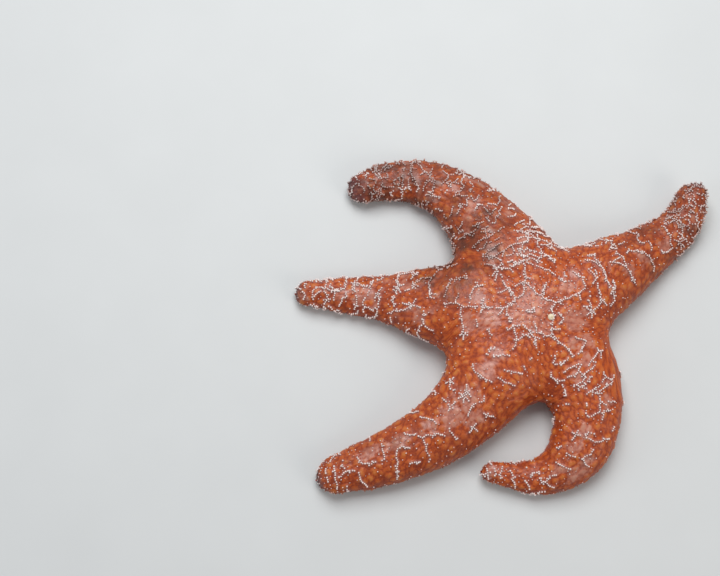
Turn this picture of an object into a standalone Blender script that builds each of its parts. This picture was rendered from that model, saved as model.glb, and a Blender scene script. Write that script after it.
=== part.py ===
"""An ochre sea star, Pisaster ochraceus, life size, at rest on a flat surface.

The body is one form: five tapered arms and a low dome, run softly into one another. Each arm follows a
middle line that starts under the middle of the disc and turns as its headings say. Rays from inside the
body find its surface, row by row along an arm and column by column around it. The body is then parted by
thin cuts into the disc and three lengths of each arm. All lengths are in metres and all angles in degrees.
"""

from collections import namedtuple

import bmesh
import bpy
import numpy as np
from mathutils import Matrix, Vector

# Where the middle of the disc stands, so that the whole animal is centred over the origin.
DISC_CENTRE = (0.0142, -0.0019)
DISC_RADIUS = 0.0390
DISC_HEIGHT = 0.0300
BLEND = 0.0055  # how softly arms and disc run into one another
GAP = 0.0003  # the thin cuts between neighbouring solids

# An arm's section: a dome that is widest at its waist and stands on a narrower flat sole.
HEIGHT_TO_WIDTH = 0.60
WAIST = 0.40  # the waist's share of the section's height
SOLE_TO_WIDTH = 0.84
LIFTED_SHARE = 0.25  # the outer share of an arm over which its tip lifts and rolls

# The underside: a furrow along each arm, which opens into the mouth.
FURROW_HALF_WIDTH = 0.0026
FURROW_ROOF_SHARE = 0.6  # the furrow narrows to this share of its width at its roof
FURROW_DEPTH = 0.0034
MOUTH_RADIUS = 0.0085
MOUTH_DEPTH = 0.0050
MOUTH_ROOF_SHARE = 0.85

# Small parts.
MADREPORITE_RADIUS = 0.0019
MADREPORITE_THICKNESS = 0.0014
MADREPORITE_DISTANCE = 0.0105  # from the middle of the disc
MADREPORITE_HEADING = -10.0
EYESPOT_RADIUS = 0.0007
EYESPOT_RISE = 0.30  # its share of the height of the arm's end

# How the surface is divided.
LINE_STEPS = 80
RIM = 0.625  # where the top turns into the wall, as a share of the way round from ridge to foot
COLUMNS = 8  # from ridge to foot
RIM_COLUMNS = 5  # the part of them from ridge to rim
TOP_ROWS = 7  # from the middle of the disc to the armpits
FAN_ROWS = 4  # from the armpits to the first cut
SOLE_ROWS = 4
LENGTH_ROWS = 5  # along each length of an arm
END_ROWS = 4  # over the rounded end
FAN_LENGTH = 0.0120  # how far past the armpits an arm is parted, with its rows turned square to it
INNER_LEDGE = 0.0060  # how far inside an armpit the rays towards it start
RAY_STEP = 0.0025
ROOT_HALVINGS = 20

Arm = namedtuple("Arm", "name length headings widths tip_lift tip_roll")

# Headings and full widths are knots: a share of the arm's length, and the value there.
ARMS = (
    Arm(
        name="upper_right",
        length=0.138,
        headings=((0.0, 31), (0.30, 32), (0.60, 34), (0.78, 42), (0.90, 68), (1.0, 86)),
        widths=((0.0, 0.042), (0.30, 0.048), (0.48, 0.041), (0.62, 0.032), (0.80, 0.025), (1.0, 0.0195)),
        tip_lift=0.010,
        tip_roll=-48,
    ),
    Arm(
        name="upper_left",
        length=0.155,
        headings=((0.0, 104), (0.26, 113), (0.42, 126), (0.58, 143), (0.75, 172), (0.88, 195), (1.0, 204)),
        widths=((0.0, 0.042), (0.26, 0.056), (0.42, 0.045), (0.56, 0.036), (0.80, 0.026), (1.0, 0.018)),
        tip_lift=0.003,
        tip_roll=0,
    ),
    Arm(
        name="left",
        length=0.136,
        headings=((0.0, 166), (0.40, 170), (1.0, 179)),
        widths=((0.0, 0.042), (0.32, 0.050), (0.46, 0.042), (0.62, 0.029), (0.80, 0.022), (1.0, 0.015)),
        tip_lift=0.002,
        tip_roll=0,
    ),
    Arm(
        name="lower_left",
        length=0.156,
        headings=((0.0, -124), (0.28, -127), (0.55, -148), (0.78, -161), (1.0, -166)),
        widths=((0.0, 0.042), (0.25, 0.052), (0.38, 0.045), (0.60, 0.037), (0.82, 0.029), (1.0, 0.019)),
        tip_lift=0.002,
        tip_roll=0,
    ),
    Arm(
        name="lower_right",
        length=0.145,
        headings=((0, -37), (0.14, -44), (0.34, -76), (0.52, -108), (0.7, -150), (0.84, -184), (1, -188)),
        widths=((0.0, 0.042), (0.28, 0.046), (0.46, 0.040), (0.60, 0.035), (0.74, 0.025), (1.0, 0.0105)),
        tip_lift=0.004,
        tip_roll=0,
    ),
)

Line = namedtuple("Line", "arm s plan heading half height lift pitch roll")


def through(knots, places):
    """A smooth curve through knots of place and value: cubic pieces that share a slope at each knot."""
    at, value = np.array(knots, float).T
    slope = np.gradient(value, at)
    places = np.clip(places, at[0], at[-1])
    i = np.clip(np.searchsorted(at, places, side="right") - 1, 0, len(at) - 2)
    span = at[i + 1] - at[i]
    t = (places - at[i]) / span
    start = (1 + 2 * t) * (1 - t) ** 2 * value[i] + t * (1 - t) ** 2 * span * slope[i]
    end = t**2 * (3 - 2 * t) * value[i + 1] - t**2 * (1 - t) * span * slope[i + 1]
    return start + end


def eased(t):
    """From 0 to 1 with no slope at either end."""
    t = np.clip(t, 0.0, 1.0)
    return t * t * (3 - 2 * t)


def line_of(arm):
    """Everything about an arm, sampled evenly along its middle line from under the disc's middle."""
    share = np.linspace(0.0, 1.0, LINE_STEPS + 1)
    s = share * arm.length
    heading = np.radians(through(arm.headings, share))
    middle = (heading[1:] + heading[:-1]) / 2
    steps = np.stack([np.cos(middle), np.sin(middle)], axis=1) * np.diff(s)[:, None]
    plan = np.vstack([np.zeros(2), np.cumsum(steps, axis=0)])
    half = through(arm.widths, share) / 2
    end = (s - (arm.length - half[-1])) / half[-1]
    half = half * np.sqrt(1 - np.clip(end, 0.0, 0.995) ** 2)
    lifted = eased((share - (1 - LIFTED_SHARE)) / LIFTED_SHARE)
    lift = arm.tip_lift * lifted
    pitch = np.arctan(np.gradient(lift, s))
    roll = np.radians(arm.tip_roll) * lifted
    return Line(arm, s, plan, heading, half, 2 * half * HEIGHT_TO_WIDTH, lift, pitch, roll)


def along(line, s):
    """The place on the middle line at s, and the directions along, leftwards and upwards there."""
    x, y, lift = (np.interp(s, line.s, column) for column in (*line.plan.T, line.lift))
    heading, pitch, roll = (np.interp(s, line.s, c) for c in (line.heading, line.pitch, line.roll))
    forward = np.stack(
        [np.cos(heading) * np.cos(pitch), np.sin(heading) * np.cos(pitch), np.sin(pitch)], axis=-1
    )
    level = np.stack([-np.sin(heading), np.cos(heading), np.zeros_like(heading)], axis=-1)
    upright = np.cross(forward, level)
    cosine, sine = np.cos(roll)[..., None], np.sin(roll)[..., None]
    left = level * cosine + upright * sine
    up = upright * cosine - level * sine
    return np.stack([x, y, lift], axis=-1), forward, left, up


def section(across, rise, half, height):
    """How far a point is outside an arm's section, at 0 on its outline."""
    waist = WAIST * height
    below = waist / np.sqrt(1 - SOLE_TO_WIDTH**2)
    reach = np.where(rise > waist, height - waist, below)
    return (np.sqrt((across / half) ** 2 + ((rise - waist) / reach) ** 2) - 1) * half


def arm_field(line, points):
    """How far points are outside an arm, by the nearest place on its middle line."""
    offsets = points[..., None, :2] - line.plan
    i = np.argmin((offsets**2).sum(-1), axis=-1)
    direction = np.stack([np.cos(line.heading[i]), np.sin(line.heading[i])], axis=-1)
    s = np.clip(line.s[i] + ((points[..., :2] - line.plan[i]) * direction).sum(-1), 0, line.arm.length)
    x, y = (np.interp(s, line.s, column) for column in line.plan.T)
    across = np.hypot(points[..., 0] - x, points[..., 1] - y)
    half, height = (np.interp(s, line.s, column) for column in (line.half, line.height))
    return section(across, points[..., 2], half, height)


def disc_field(points):
    """How far points are outside the disc's dome."""
    return section(np.hypot(points[..., 0], points[..., 1]), points[..., 2], DISC_RADIUS, DISC_HEIGHT)


def body_field(points, own=None):
    """The soft union of the arms and the disc. own is one line and its field, already worked out."""
    fields = [disc_field(points)]
    for line in LINES:
        fields.append(own[1] if own and line is own[0] else arm_field(line, points))
    return -BLEND * np.log(sum(np.exp(-field / BLEND) for field in fields))


def leave(starts, ways, field):
    """Where rays that start inside a field first leave it: by steps, then by halving the last step."""
    inner, outer = np.zeros(starts.shape[:-1]), np.full(starts.shape[:-1], np.inf)
    for reach in np.arange(RAY_STEP, 2 * DISC_RADIUS, RAY_STEP):
        outside = (field(starts + reach * ways) > 0) & np.isinf(outer)
        outer = np.where(outside, reach, outer)
        inner = np.where(np.isinf(outer), reach, inner)
    for _ in range(ROOT_HALVINGS):
        reach = (inner + outer) / 2
        outside = field(starts + reach[..., None] * ways) > 0
        outer = np.where(outside, reach, outer)
        inner = np.where(outside, inner, reach)
    return starts + ((inner + outer) / 2)[..., None] * ways


def armpit(line, side):
    """The way from the disc's middle to the armpit on one side of an arm, and how far out that is."""
    turns = [side * (other.heading[0] - line.heading[0]) % (2 * np.pi) for other in LINES]
    heading = line.heading[0] + side * min(turn for turn in turns if turn > 1e-6) / 2
    way = np.array([np.cos(heading), np.sin(heading), 0.0])
    return way, np.linalg.norm(leave(np.zeros(3), way, body_field))


def armpit_place(line, side):
    """How far along an arm the armpit on one side of it is."""
    way, reach = PITS[line.arm.name, side]
    return line.s[np.argmin(np.linalg.norm(line.plan - (reach * way)[:2], axis=1))]


def first_cut(line):
    """How far along an arm it is parted from the disc."""
    return max(armpit_place(line, side) for side in SIDES) + FAN_LENGTH


def inner_rows(line, side, count, outer):
    """Places along an arm of rows inside the armpits, or from them to the first cut, at ridge and rim."""
    pit, middle = armpit_place(line, side), np.mean([armpit_place(line, each) for each in SIDES])
    cut = first_cut(line)
    ends = ((middle, cut), (pit, cut)) if outer else ((0.0, middle), (0.0, pit))
    return [np.linspace(*end, count + 1) for end in ends]


def half_shell(line, side, ridge, rim, v):
    """The top and one wall of an arm, at shares v of the way from its ridge to its foot.

    ridge and rim say how far along the arm each row is there. Out on the arm, rays leave the middle
    line square to it. Nearer the disc they turn, until at the armpit they leave the disc's edge along
    the line between the two arms, and inside that they rise.
    """
    way, reach = PITS[line.arm.name, side]
    pit, cut = armpit_place(line, side), first_cut(line)
    turned = (1 - eased((rim - pit) / (cut - pit)))[:, None, None]
    inward = np.clip(rim / pit, 0.0, 1.0)[:, None, None]
    over = np.minimum(v / RIM, 1.0)
    s = ridge[:, None] + (rim - ridge)[:, None] * over
    base, _, left, up = along(line, s)
    half, height = (np.interp(s, line.s, column) for column in (line.half, line.height))
    ledge = inward * (reach - INNER_LEDGE) * way
    waist = WAIST * (turned * DISC_HEIGHT + (1 - turned) * height[..., None])
    starts = base + turned * over[:, None] * (ledge - base) + waist * (1 - v[:, None] ** 2) * up
    out = (1 - turned) * side * left + turned * way
    out = out / np.linalg.norm(out, axis=-1, keepdims=True)
    tilt = (np.pi / 2) * v[:, None] * inward**2

    def field(points):
        local = points - base
        own = section((local * left).sum(-1), (local * up).sum(-1), half, height)
        return body_field(points, (line, np.where(s > cut, own, arm_field(line, points))))

    return leave(starts, np.sin(tilt) * out + np.cos(tilt) * up, field)


def half_sole(line, side, s, edge):
    """One side of the sole and furrow, from the sole's edge to the middle of the furrow."""
    base, _, left, up = along(line, s)
    half = np.interp(s, line.s, line.half)
    width = np.minimum(FURROW_HALF_WIDTH, 0.35 * half)[:, None]
    depth = width * FURROW_DEPTH / FURROW_HALF_WIDTH
    lip = base + side * width * left
    roof = base + side * width * FURROW_ROOF_SHARE * left + depth * up
    return np.stack([edge, (edge + lip) / 2, lip, roof, base + depth * up], axis=1)


def half_rows(line, side, ridge, rim):
    """Half of each row of an arm, from its ridge round to the middle of its furrow."""
    shell = half_shell(line, side, ridge, rim, np.linspace(0.0, 1.0, COLUMNS + 1))
    return np.concatenate([shell[:, :-1], half_sole(line, side, ridge, shell[:, -1])], axis=1)


def end_rows(line):
    """Rows over an arm's rounded end, closer together towards the tip."""
    reach = line.arm.widths[-1][1] / 2
    return line.arm.length - reach * (1 - np.sin(np.linspace(0.0, 1.44, END_ROWS + 1)))


def add_grid(mesh, points):
    """Adds a grid of points, in rows, and its faces."""
    rows = [[mesh.verts.new(point) for point in row] for row in points]
    for row, next_row in zip(rows[:-1], rows[1:]):
        for i in range(len(row) - 1):
            mesh.faces.new((row[i], row[i + 1], next_row[i + 1], next_row[i]))


def add_cap(mesh, left_half, right_half):
    """Closes a cut with one flat face, from the two halves of its row."""
    outline = np.concatenate([left_half, right_half[-2:0:-1]])
    mesh.faces.new([mesh.verts.new(point) for point in outline])


def material(name, colour, roughness, metallic=0.0):
    """A plain material of one colour."""
    made = bpy.data.materials.new(name)
    made.use_nodes = True
    shader = made.node_tree.nodes["Principled BSDF"]
    shader.inputs["Base Color"].default_value = (*colour, 1.0)
    shader.inputs["Roughness"].default_value = roughness
    shader.inputs["Metallic"].default_value = metallic
    return made


def place(name, data):
    """Stands a piece, made about the disc's middle, in its own place in the sea star's collection."""
    made = bpy.data.objects.new(name, data)
    made.location = (*DISC_CENTRE, 0.0)
    bpy.data.collections["sea star"].objects.link(made)
    return made


def keep(mesh, name, made_of):
    """Makes an object of a closed mesh, in the sea star's collection."""
    bmesh.ops.remove_doubles(mesh, verts=mesh.verts, dist=1e-5)
    bmesh.ops.recalc_face_normals(mesh, faces=mesh.faces)
    data = bpy.data.meshes.new(name)
    mesh.to_mesh(data)
    mesh.free()
    data.materials.append(made_of)
    data.shade_smooth()
    data.set_sharp_from_angle(angle=np.radians(50))
    place(name, data)


def make_disc(made_of):
    """The disc, out to where the arms are parted from it, with the mouth's recess underneath."""
    mesh = bmesh.new()
    for line in LINES:
        halves = []
        for side in SIDES:
            ridge, rim = inner_rows(line, side, TOP_ROWS, outer=False)
            add_grid(mesh, half_shell(line, side, ridge, rim, np.linspace(0.0, RIM, RIM_COLUMNS + 1)))
            rows = half_rows(line, side, *inner_rows(line, side, FAN_ROWS, outer=True))
            add_grid(mesh, rows)
            halves.append(rows[-1])
            way, reach = PITS[line.arm.name, side]
            radius = np.linspace(MOUTH_RADIUS, reach, SOLE_ROWS + 1)
            s = np.linspace(MOUTH_RADIUS, ridge[-1], SOLE_ROWS + 1)
            sole = half_sole(line, side, s, radius[:, None] * way)
            add_grid(mesh, sole)
            roof = sole[0] * MOUTH_ROOF_SHARE
            roof[:, 2] = MOUTH_DEPTH
            add_grid(mesh, np.stack([sole[0], roof, np.tile([0.0, 0.0, MOUTH_DEPTH], (len(roof), 1))]))
        add_cap(mesh, *halves)
    keep(mesh, "disc", made_of)


def make_arm(line, made_of):
    """An arm in three lengths, from its cut at the disc to its rounded end."""
    start = first_cut(line) + GAP
    cuts = np.linspace(start, line.arm.length, 4)
    for name, near, far in zip(("base", "middle", "tip"), cuts[:-1], cuts[1:]):
        if name == "tip":
            end = end_rows(line)
            s = np.concatenate([np.linspace(near, end[0], LENGTH_ROWS)[:-1], end])
        else:
            s = np.linspace(near, far - GAP, LENGTH_ROWS + 1)
        left, right = (half_rows(line, side, s, s) for side in SIDES)
        mesh = bmesh.new()
        add_grid(mesh, left)
        add_grid(mesh, right)
        add_cap(mesh, left[0], right[0])
        add_cap(mesh, left[-1], right[-1])
        keep(mesh, f"arm_{line.arm.name}_{name}", made_of)


def make_madreporite(made_of):
    """The sieve plate: a low round knob on the disc, off its middle and between two arms."""
    heading = np.radians(MADREPORITE_HEADING)
    foot = MADREPORITE_DISTANCE * np.array([np.cos(heading), np.sin(heading), 0.0])
    start = foot + np.array([0.0, 0.0, WAIST * DISC_HEIGHT])
    steps = MADREPORITE_RADIUS * np.array([[0, 0, 0], [1, 0, 0], [0, 1, 0]])
    spots = leave(start + steps, np.tile([0.0, 0.0, 1.0], (3, 1)), body_field)
    normal = np.cross(spots[1] - spots[0], spots[2] - spots[0])
    normal = normal / np.linalg.norm(normal)
    mesh = bmesh.new()
    bmesh.ops.create_uvsphere(mesh, u_segments=20, v_segments=10, radius=MADREPORITE_RADIUS)
    flatten = Matrix.Diagonal((1.0, 1.0, MADREPORITE_THICKNESS / (2 * MADREPORITE_RADIUS), 1.0))
    lean = Vector((0, 0, 1)).rotation_difference(Vector(normal)).to_matrix().to_4x4()
    clear = MADREPORITE_THICKNESS / 2 + GAP
    place = Matrix.Translation(Vector(spots[0] + clear * normal))
    bmesh.ops.transform(mesh, matrix=place @ lean @ flatten, verts=mesh.verts)
    keep(mesh, "madreporite", made_of)


def make_eyespot(line, made_of):
    """The eyespot at an arm's end, a bead just clear of it."""
    end = end_rows(line)[-1:]
    base, forward, _, up = (column[0] for column in along(line, end))
    rise = EYESPOT_RISE * np.interp(end[0], line.s, line.height) + EYESPOT_RADIUS
    mesh = bmesh.new()
    bmesh.ops.create_uvsphere(mesh, u_segments=12, v_segments=8, radius=EYESPOT_RADIUS)
    centre = base + rise * up + (EYESPOT_RADIUS + GAP) * forward
    bmesh.ops.translate(mesh, verts=mesh.verts, vec=Vector(centre))
    keep(mesh, f"eyespot_{line.arm.name}", made_of)


def make_mouth(made_of):
    """The skin round the mouth: a low ring turned about the disc's middle, under the recess's roof."""
    outer = MOUTH_RADIUS * MOUTH_ROOF_SHARE - 2 * GAP
    top = MOUTH_DEPTH - GAP
    below = ((1.0, 0.0008), (0.6, 0.0016), (0.2, 0.0013), (0.0, 0.0006))
    profile = [(0.0, top), (outer, top)] + [(share * outer, top - drop) for share, drop in below]
    data = bpy.data.meshes.new("mouth")
    edges = [(i, i + 1) for i in range(len(profile) - 1)]
    data.from_pydata([(x, 0.0, z) for x, z in profile], edges, [])
    data.materials.append(made_of)
    turn = place("mouth", data).modifiers.new("turn", "SCREW")
    turn.steps = turn.render_steps = 30
    turn.use_merge_vertices = True
    turn.merge_threshold = 0.00001
    turn.use_smooth_shade = True


def main():
    for old in list(bpy.data.objects):
        bpy.data.objects.remove(old, do_unlink=True)
    collection = bpy.data.collections.new("sea star")
    bpy.context.scene.collection.children.link(collection)
    skin = material("skin", (0.62, 0.17, 0.035), 0.35)
    cream = material("sieve plate", (0.80, 0.62, 0.38), 0.5)
    pale = material("mouth skin", (0.72, 0.42, 0.20), 0.45)
    red = material("eyespot", (0.45, 0.03, 0.02), 0.3)
    make_disc(skin)
    for line in LINES:
        make_arm(line, skin)
        make_eyespot(line, red)
    make_madreporite(cream)
    make_mouth(pale)


SIDES = (1, -1)  # left and right of an arm
LINES = [line_of(arm) for arm in ARMS]
PITS = {(line.arm.name, side): armpit(line, side) for line in LINES for side in SIDES}
main()
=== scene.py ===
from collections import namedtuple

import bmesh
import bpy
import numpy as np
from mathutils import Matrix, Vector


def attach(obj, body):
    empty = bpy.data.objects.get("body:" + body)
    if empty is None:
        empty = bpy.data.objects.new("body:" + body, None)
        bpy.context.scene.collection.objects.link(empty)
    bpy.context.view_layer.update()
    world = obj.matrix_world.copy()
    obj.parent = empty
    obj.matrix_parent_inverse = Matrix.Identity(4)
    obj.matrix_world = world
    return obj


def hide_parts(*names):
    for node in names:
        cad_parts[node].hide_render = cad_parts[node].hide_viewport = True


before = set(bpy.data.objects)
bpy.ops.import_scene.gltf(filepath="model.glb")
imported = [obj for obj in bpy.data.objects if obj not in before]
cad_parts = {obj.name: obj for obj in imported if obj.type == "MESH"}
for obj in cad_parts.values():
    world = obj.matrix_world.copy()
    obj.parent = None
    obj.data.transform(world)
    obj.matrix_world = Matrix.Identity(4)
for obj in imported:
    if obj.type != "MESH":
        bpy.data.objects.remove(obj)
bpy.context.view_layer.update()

# The looks of the ochre sea star: one wet skin over the whole body, with the spines, the feet and the small
# parts on it.
#
# The body's form is worked out in the same way as its solids. Five tapered arms follow middle lines that
# turn, a low dome joins them, and rays from inside find the surface row by row. The skin lies a spine's
# height inside the solids. Pale spines stand in chains over the back: drawn ones, whose corners are listed
# here, and beyond them ones along the edges of a net of cells. More stand in rows along the margins and all
# over the sole. All lengths are in metres, unless a list says that it is in mm.

MM = 0.001
UP = np.array([0.0, 0.0, 1.0])
SIDES = (1, -1)  # left and right of an arm
BUILD_SEED = 7
MARKS = ("film", "cobble", "near", "brown", "tip", "under")  # that the finishes read
PLACE_MARKS = ("arm", "along", "across", "round", "under")  # that say where on the body a point is

# ---------------------------------------------------------------- the body's form, as its solids have it
DISC_CENTRE = np.array([0.0142, -0.0019, 0.0])
DISC_RADIUS = 0.0390
DISC_HEIGHT = 0.0300
BLEND = 0.0055  # how softly arms and disc run into one another
HEIGHT_TO_WIDTH = 0.60
WAIST = 0.40  # the waist's share of a section's height
SOLE_TO_WIDTH = 0.84
LIFTED_SHARE = 0.25  # the outer share of an arm over which its tip lifts and rolls
FURROW_HALF_WIDTH = 0.0026
FURROW_SHARE = 0.35  # at most this share of an arm's half width
FURROW_ROOF_SHARE = 0.6
FURROW_DEPTH = 0.0034
MOUTH_RADIUS = 0.0085
MOUTH_DEPTH = 0.0050
MOUTH_ROOF_SHARE = 0.85
MADREPORITE_RADIUS = 0.0019
MADREPORITE_HEIGHT = 0.0012
MADREPORITE_DISTANCE = 0.0105
MADREPORITE_HEADING = -10.0
EYESPOT_RISE = 0.30

# ---------------------------------------------------------------- the skin and its rows
SKIN_DEPTH = 0.0010  # how far the skin lies inside the solids: a spine's height
SOLE_DEPTH = 0.0009
LINE_STEPS = 80
RIM = 0.625  # where the top turns into the wall, as a share of the way round from ridge to foot
COLUMNS = 40  # from ridge to foot
TOP_ROWS = 44  # from the middle of the disc to the armpits
FAN_ROWS = 14  # from the armpits to where the rows stand square to the arm
ROW_SPACING = 0.0010  # along the arms
END_ROWS = 14  # over an arm's rounded end
END_TURN = 1.47  # radians that they reach over it, of the 1.57 of a quarter turn
END_KEPT = 0.995  # the share of that end that a section is worked out for
SOLE_COLUMNS = 9
FAN_LENGTH = 0.0120
EDGE_COLUMNS = (36, 39)  # of the rows of spines low on the walls
SOLE_SPINE_COLUMNS = (41, 42, 43, 44, 45, 46, 47)
LIP_COLUMN = 48  # the furrow's edge
ROOF_COLUMNS = (50, 51)
TUBE_FOOT_SPACING = 0.00145
TUBE_FOOT_ROWS = (0.12, 0.66)  # as shares of the way from the roof's edge to its middle
INNER_LEDGE = 0.0060  # how far inside an armpit the rays towards it start
RAY_STEP = 0.0040
ROOT_HALVINGS = 14
FLOOR_GAP = 0.00015  # under the lowest spines
UNDER_OF_BACK = 0.25  # the mark under is less than this on the back
SOLE_ACROSS = 0.05  # added to the mark across on the disc's sole, where it is then never 0
SEAM_GAP = 2e-5  # points of the skin that lie nearer together are joined
PIECE_GAP = 2e-6  # the same on a small turned piece
LOWEST_NORMAL = -0.1  # of the skin where a spine of the back may stand: how far its way out points up

# ---------------------------------------------------------------- the skin's relief, and its sheen: gloss and a pale painted reflection
COBBLES = ((0.78, 4.0 * MM, 3), (0.22, 2.1 * MM, 4))  # the share, size and seed of large and small ones
COBBLE_RELIEF = 0.76 * MM
SWELL_RELIEF = 0.22 * MM
CHAIN_RELIEF = 0.30 * MM  # how far the skin rises along the chains
NEAR_REACH = 1.15 * MM  # how wide that rise is, and the greyer skin on it
FILM_THICKNESS = 0.85  # how strong the painted sheen is in the drawn patches
RING_FILM = 0.66  # the painted sheen's strength inside the ring
HAZE_FILM = 0.42  # and in the haze around it
HAZE_REACH = 0.036
# Patches that turn brown round the start of the upper left arm, partly their own tone and partly painted
# shade:
# heading, distance, reach and strength.
BROWN_PATCHES = ((148, 0.055, 0.025, 0.75), (122, 0.056, 0.024, 0.90), (128, 0.042, 0.016, 0.45))

# ---------------------------------------------------------------- drawn chains of spines, and drawn patches of painted sheen
RING_CENTRE = np.array([0.0028, 0.0012, 0.0])

# The star-shaped ring round the middle of the disc: each corner's heading in degrees and reach in mm.
RING = (
    (13, 8), (27, 11), (70, 8.5), (92, 10.5), (103, 13.5), (110, 18.5), (131, 12.5), (147, 14), (162, 14.5),
    (172, 17), (188, 16.5), (200, 16), (210, 16), (222, 12), (250, 12.5), (262, 11.7), (275, 13), (290, 14.5),
    (302, 15), (312, 10.8), (338, 9.5),
)

# Chains of spines on the disc: their corners, in the same way, from the ring's middle.
DISC_CHAINS = (
    # along the left arm, with ribs and arches on both sides
    ((162, 14.5), (170, 17), (174, 21), (174, 31), (175, 38), (175, 43), (173, 45.5), (174, 51), (177, 51.5)),
    ((174, 30.7), (163, 31)),
    ((175, 38), (167, 38.5), (158, 37.7), (155, 36), (152, 33)),
    ((155, 36), (152, 39)),
    ((173, 45.5), (165, 45)),
    ((170, 53), (167, 52), (162, 52), (158, 51), (154, 47), (152, 42.6)),
    ((163, 62), (167, 61), (171, 60), (171, 57)),
    ((176, 42.5), (183, 42.4), (191, 42), (195, 42.4)),
    ((185, 34), (194, 34)),
    ((174, 30.7), (181, 31.6)),
    ((198, 29), (211, 29)),
    # towards the upper left arm
    ((147, 14), (145, 18), (140, 22), (137, 24.6), (133, 29), (132, 37.5)),
    ((110, 18.5), (106, 22), (105, 26), (103, 32), (104, 36.7), (95, 43.7), (96, 48)),
    ((70, 8.5), (72, 14), (71, 18.5)),
    ((117, 29), (105, 30), (95, 28), (82, 26), (66, 24.7), (54, 23.7), (43, 24.4)),
    ((107, 37.7), (90, 35.7), (80, 34.5), (69, 31.7)),
    ((120, 29.5), (110, 30), (100, 30.5), (93, 31), (88, 30)),
    ((118, 36), (113, 35.5), (107, 35), (99, 32.5)),
    ((96, 47), (91, 45), (88, 43), (88, 40), (86, 37), (84, 34), (87, 31), (89, 28.5)),
    ((136, 40), (132, 36.5), (130.5, 33.5), (126.5, 31), (122, 29), (119, 26)),
    ((133, 43.5), (128, 41), (125, 38.5), (124, 35.5), (126, 33)),
    # towards the upper right arm
    ((27, 11), (25, 17), (24.5, 22), (25.6, 26), (28, 32)),
    ((50, 32.6), (37, 33), (28, 32)),
    ((25.6, 26), (16, 26)),
    ((41, 40), (37, 40), (33, 40), (29, 39.5)),
    ((52, 26.5), (55, 28.5), (57, 30)),
    ((24, 32.5), (15, 31), (3, 31)),
    ((48, 43), (40, 46), (33, 46.5), (28, 45), (19, 45.5), (12, 45.7), (7, 42.4)),
    # a small heap left of the ring's middle
    ((145, 2.4), (215, 2.4)),
    ((157, 3.6), (203, 3.6)),
    ((163, 4.8), (197, 4.8)),
    ((166, 5.9), (194, 5.9)),
    # round the sieve plate
    ((0, 11.3), (345, 14.4), (331, 14)),
    # crescents towards the lower right arm
    ((302, 15), (303, 19), (308, 26), (309, 32)),
    ((326, 25.6), (330, 31), (321, 31.7), (311, 32.5)),
    ((290, 26), (287, 30), (296, 31.5), (305, 31)),
    ((330, 38), (329, 40), (324, 44)),
    ((329, 40), (319, 40), (312, 41)),
    ((281, 36), (287, 39.6), (295, 40), (302, 40), (310, 37)),
    ((291.5, 36.5), (297.5, 35.5), (303, 36), (308.5, 36)),
    ((289, 42), (289, 49)),
    ((317, 43), (309, 43), (303, 43)),
    ((309, 46), (301, 48), (295, 47.6)),
    ((316, 49), (318, 55), (322, 54)),
    ((318, 56), (311, 55.5), (302, 54.7)),
    # arches towards the lower left arm
    ((250, 12.5), (244, 14.7), (237, 18), (233, 20.6), (236, 23), (236, 26.4)),
    ((210, 16), (225, 18), (233, 20.6)),
    ((210, 16), (212, 21)),
    ((262, 15), (266, 21.5)),
    ((220, 38), (219, 34), (220, 31)),
    ((224, 36), (228, 34), (233, 31), (239, 30)),
    ((219, 46), (221, 48), (227, 48.4), (233, 48), (238, 47.4)),
    ((238, 44), (243, 44), (248, 43.7), (254, 43.5)),
    ((239, 39), (246, 37), (256, 36)),
    ((254, 32), (257, 34)),
    ((258, 27.6), (264, 26.8)),
)
DISC_SPRAYS = ((195, 42.4), (3, 31), (218, 61), (228, 59.5))

# Beyond those, where the upper left arm starts, arcs lie one behind the other, each with a gap.
ARC_REACHES = (33, 40.5, 44, 48, 52)  # mm
ARC_HEADINGS = (70, 132)
ARC_END = 20  # degrees from an arc's end, at least, to its gap
ARC_GAP = 5  # degrees on either side of the gap's middle
ARC_STRAY = 0.9  # mm

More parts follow.
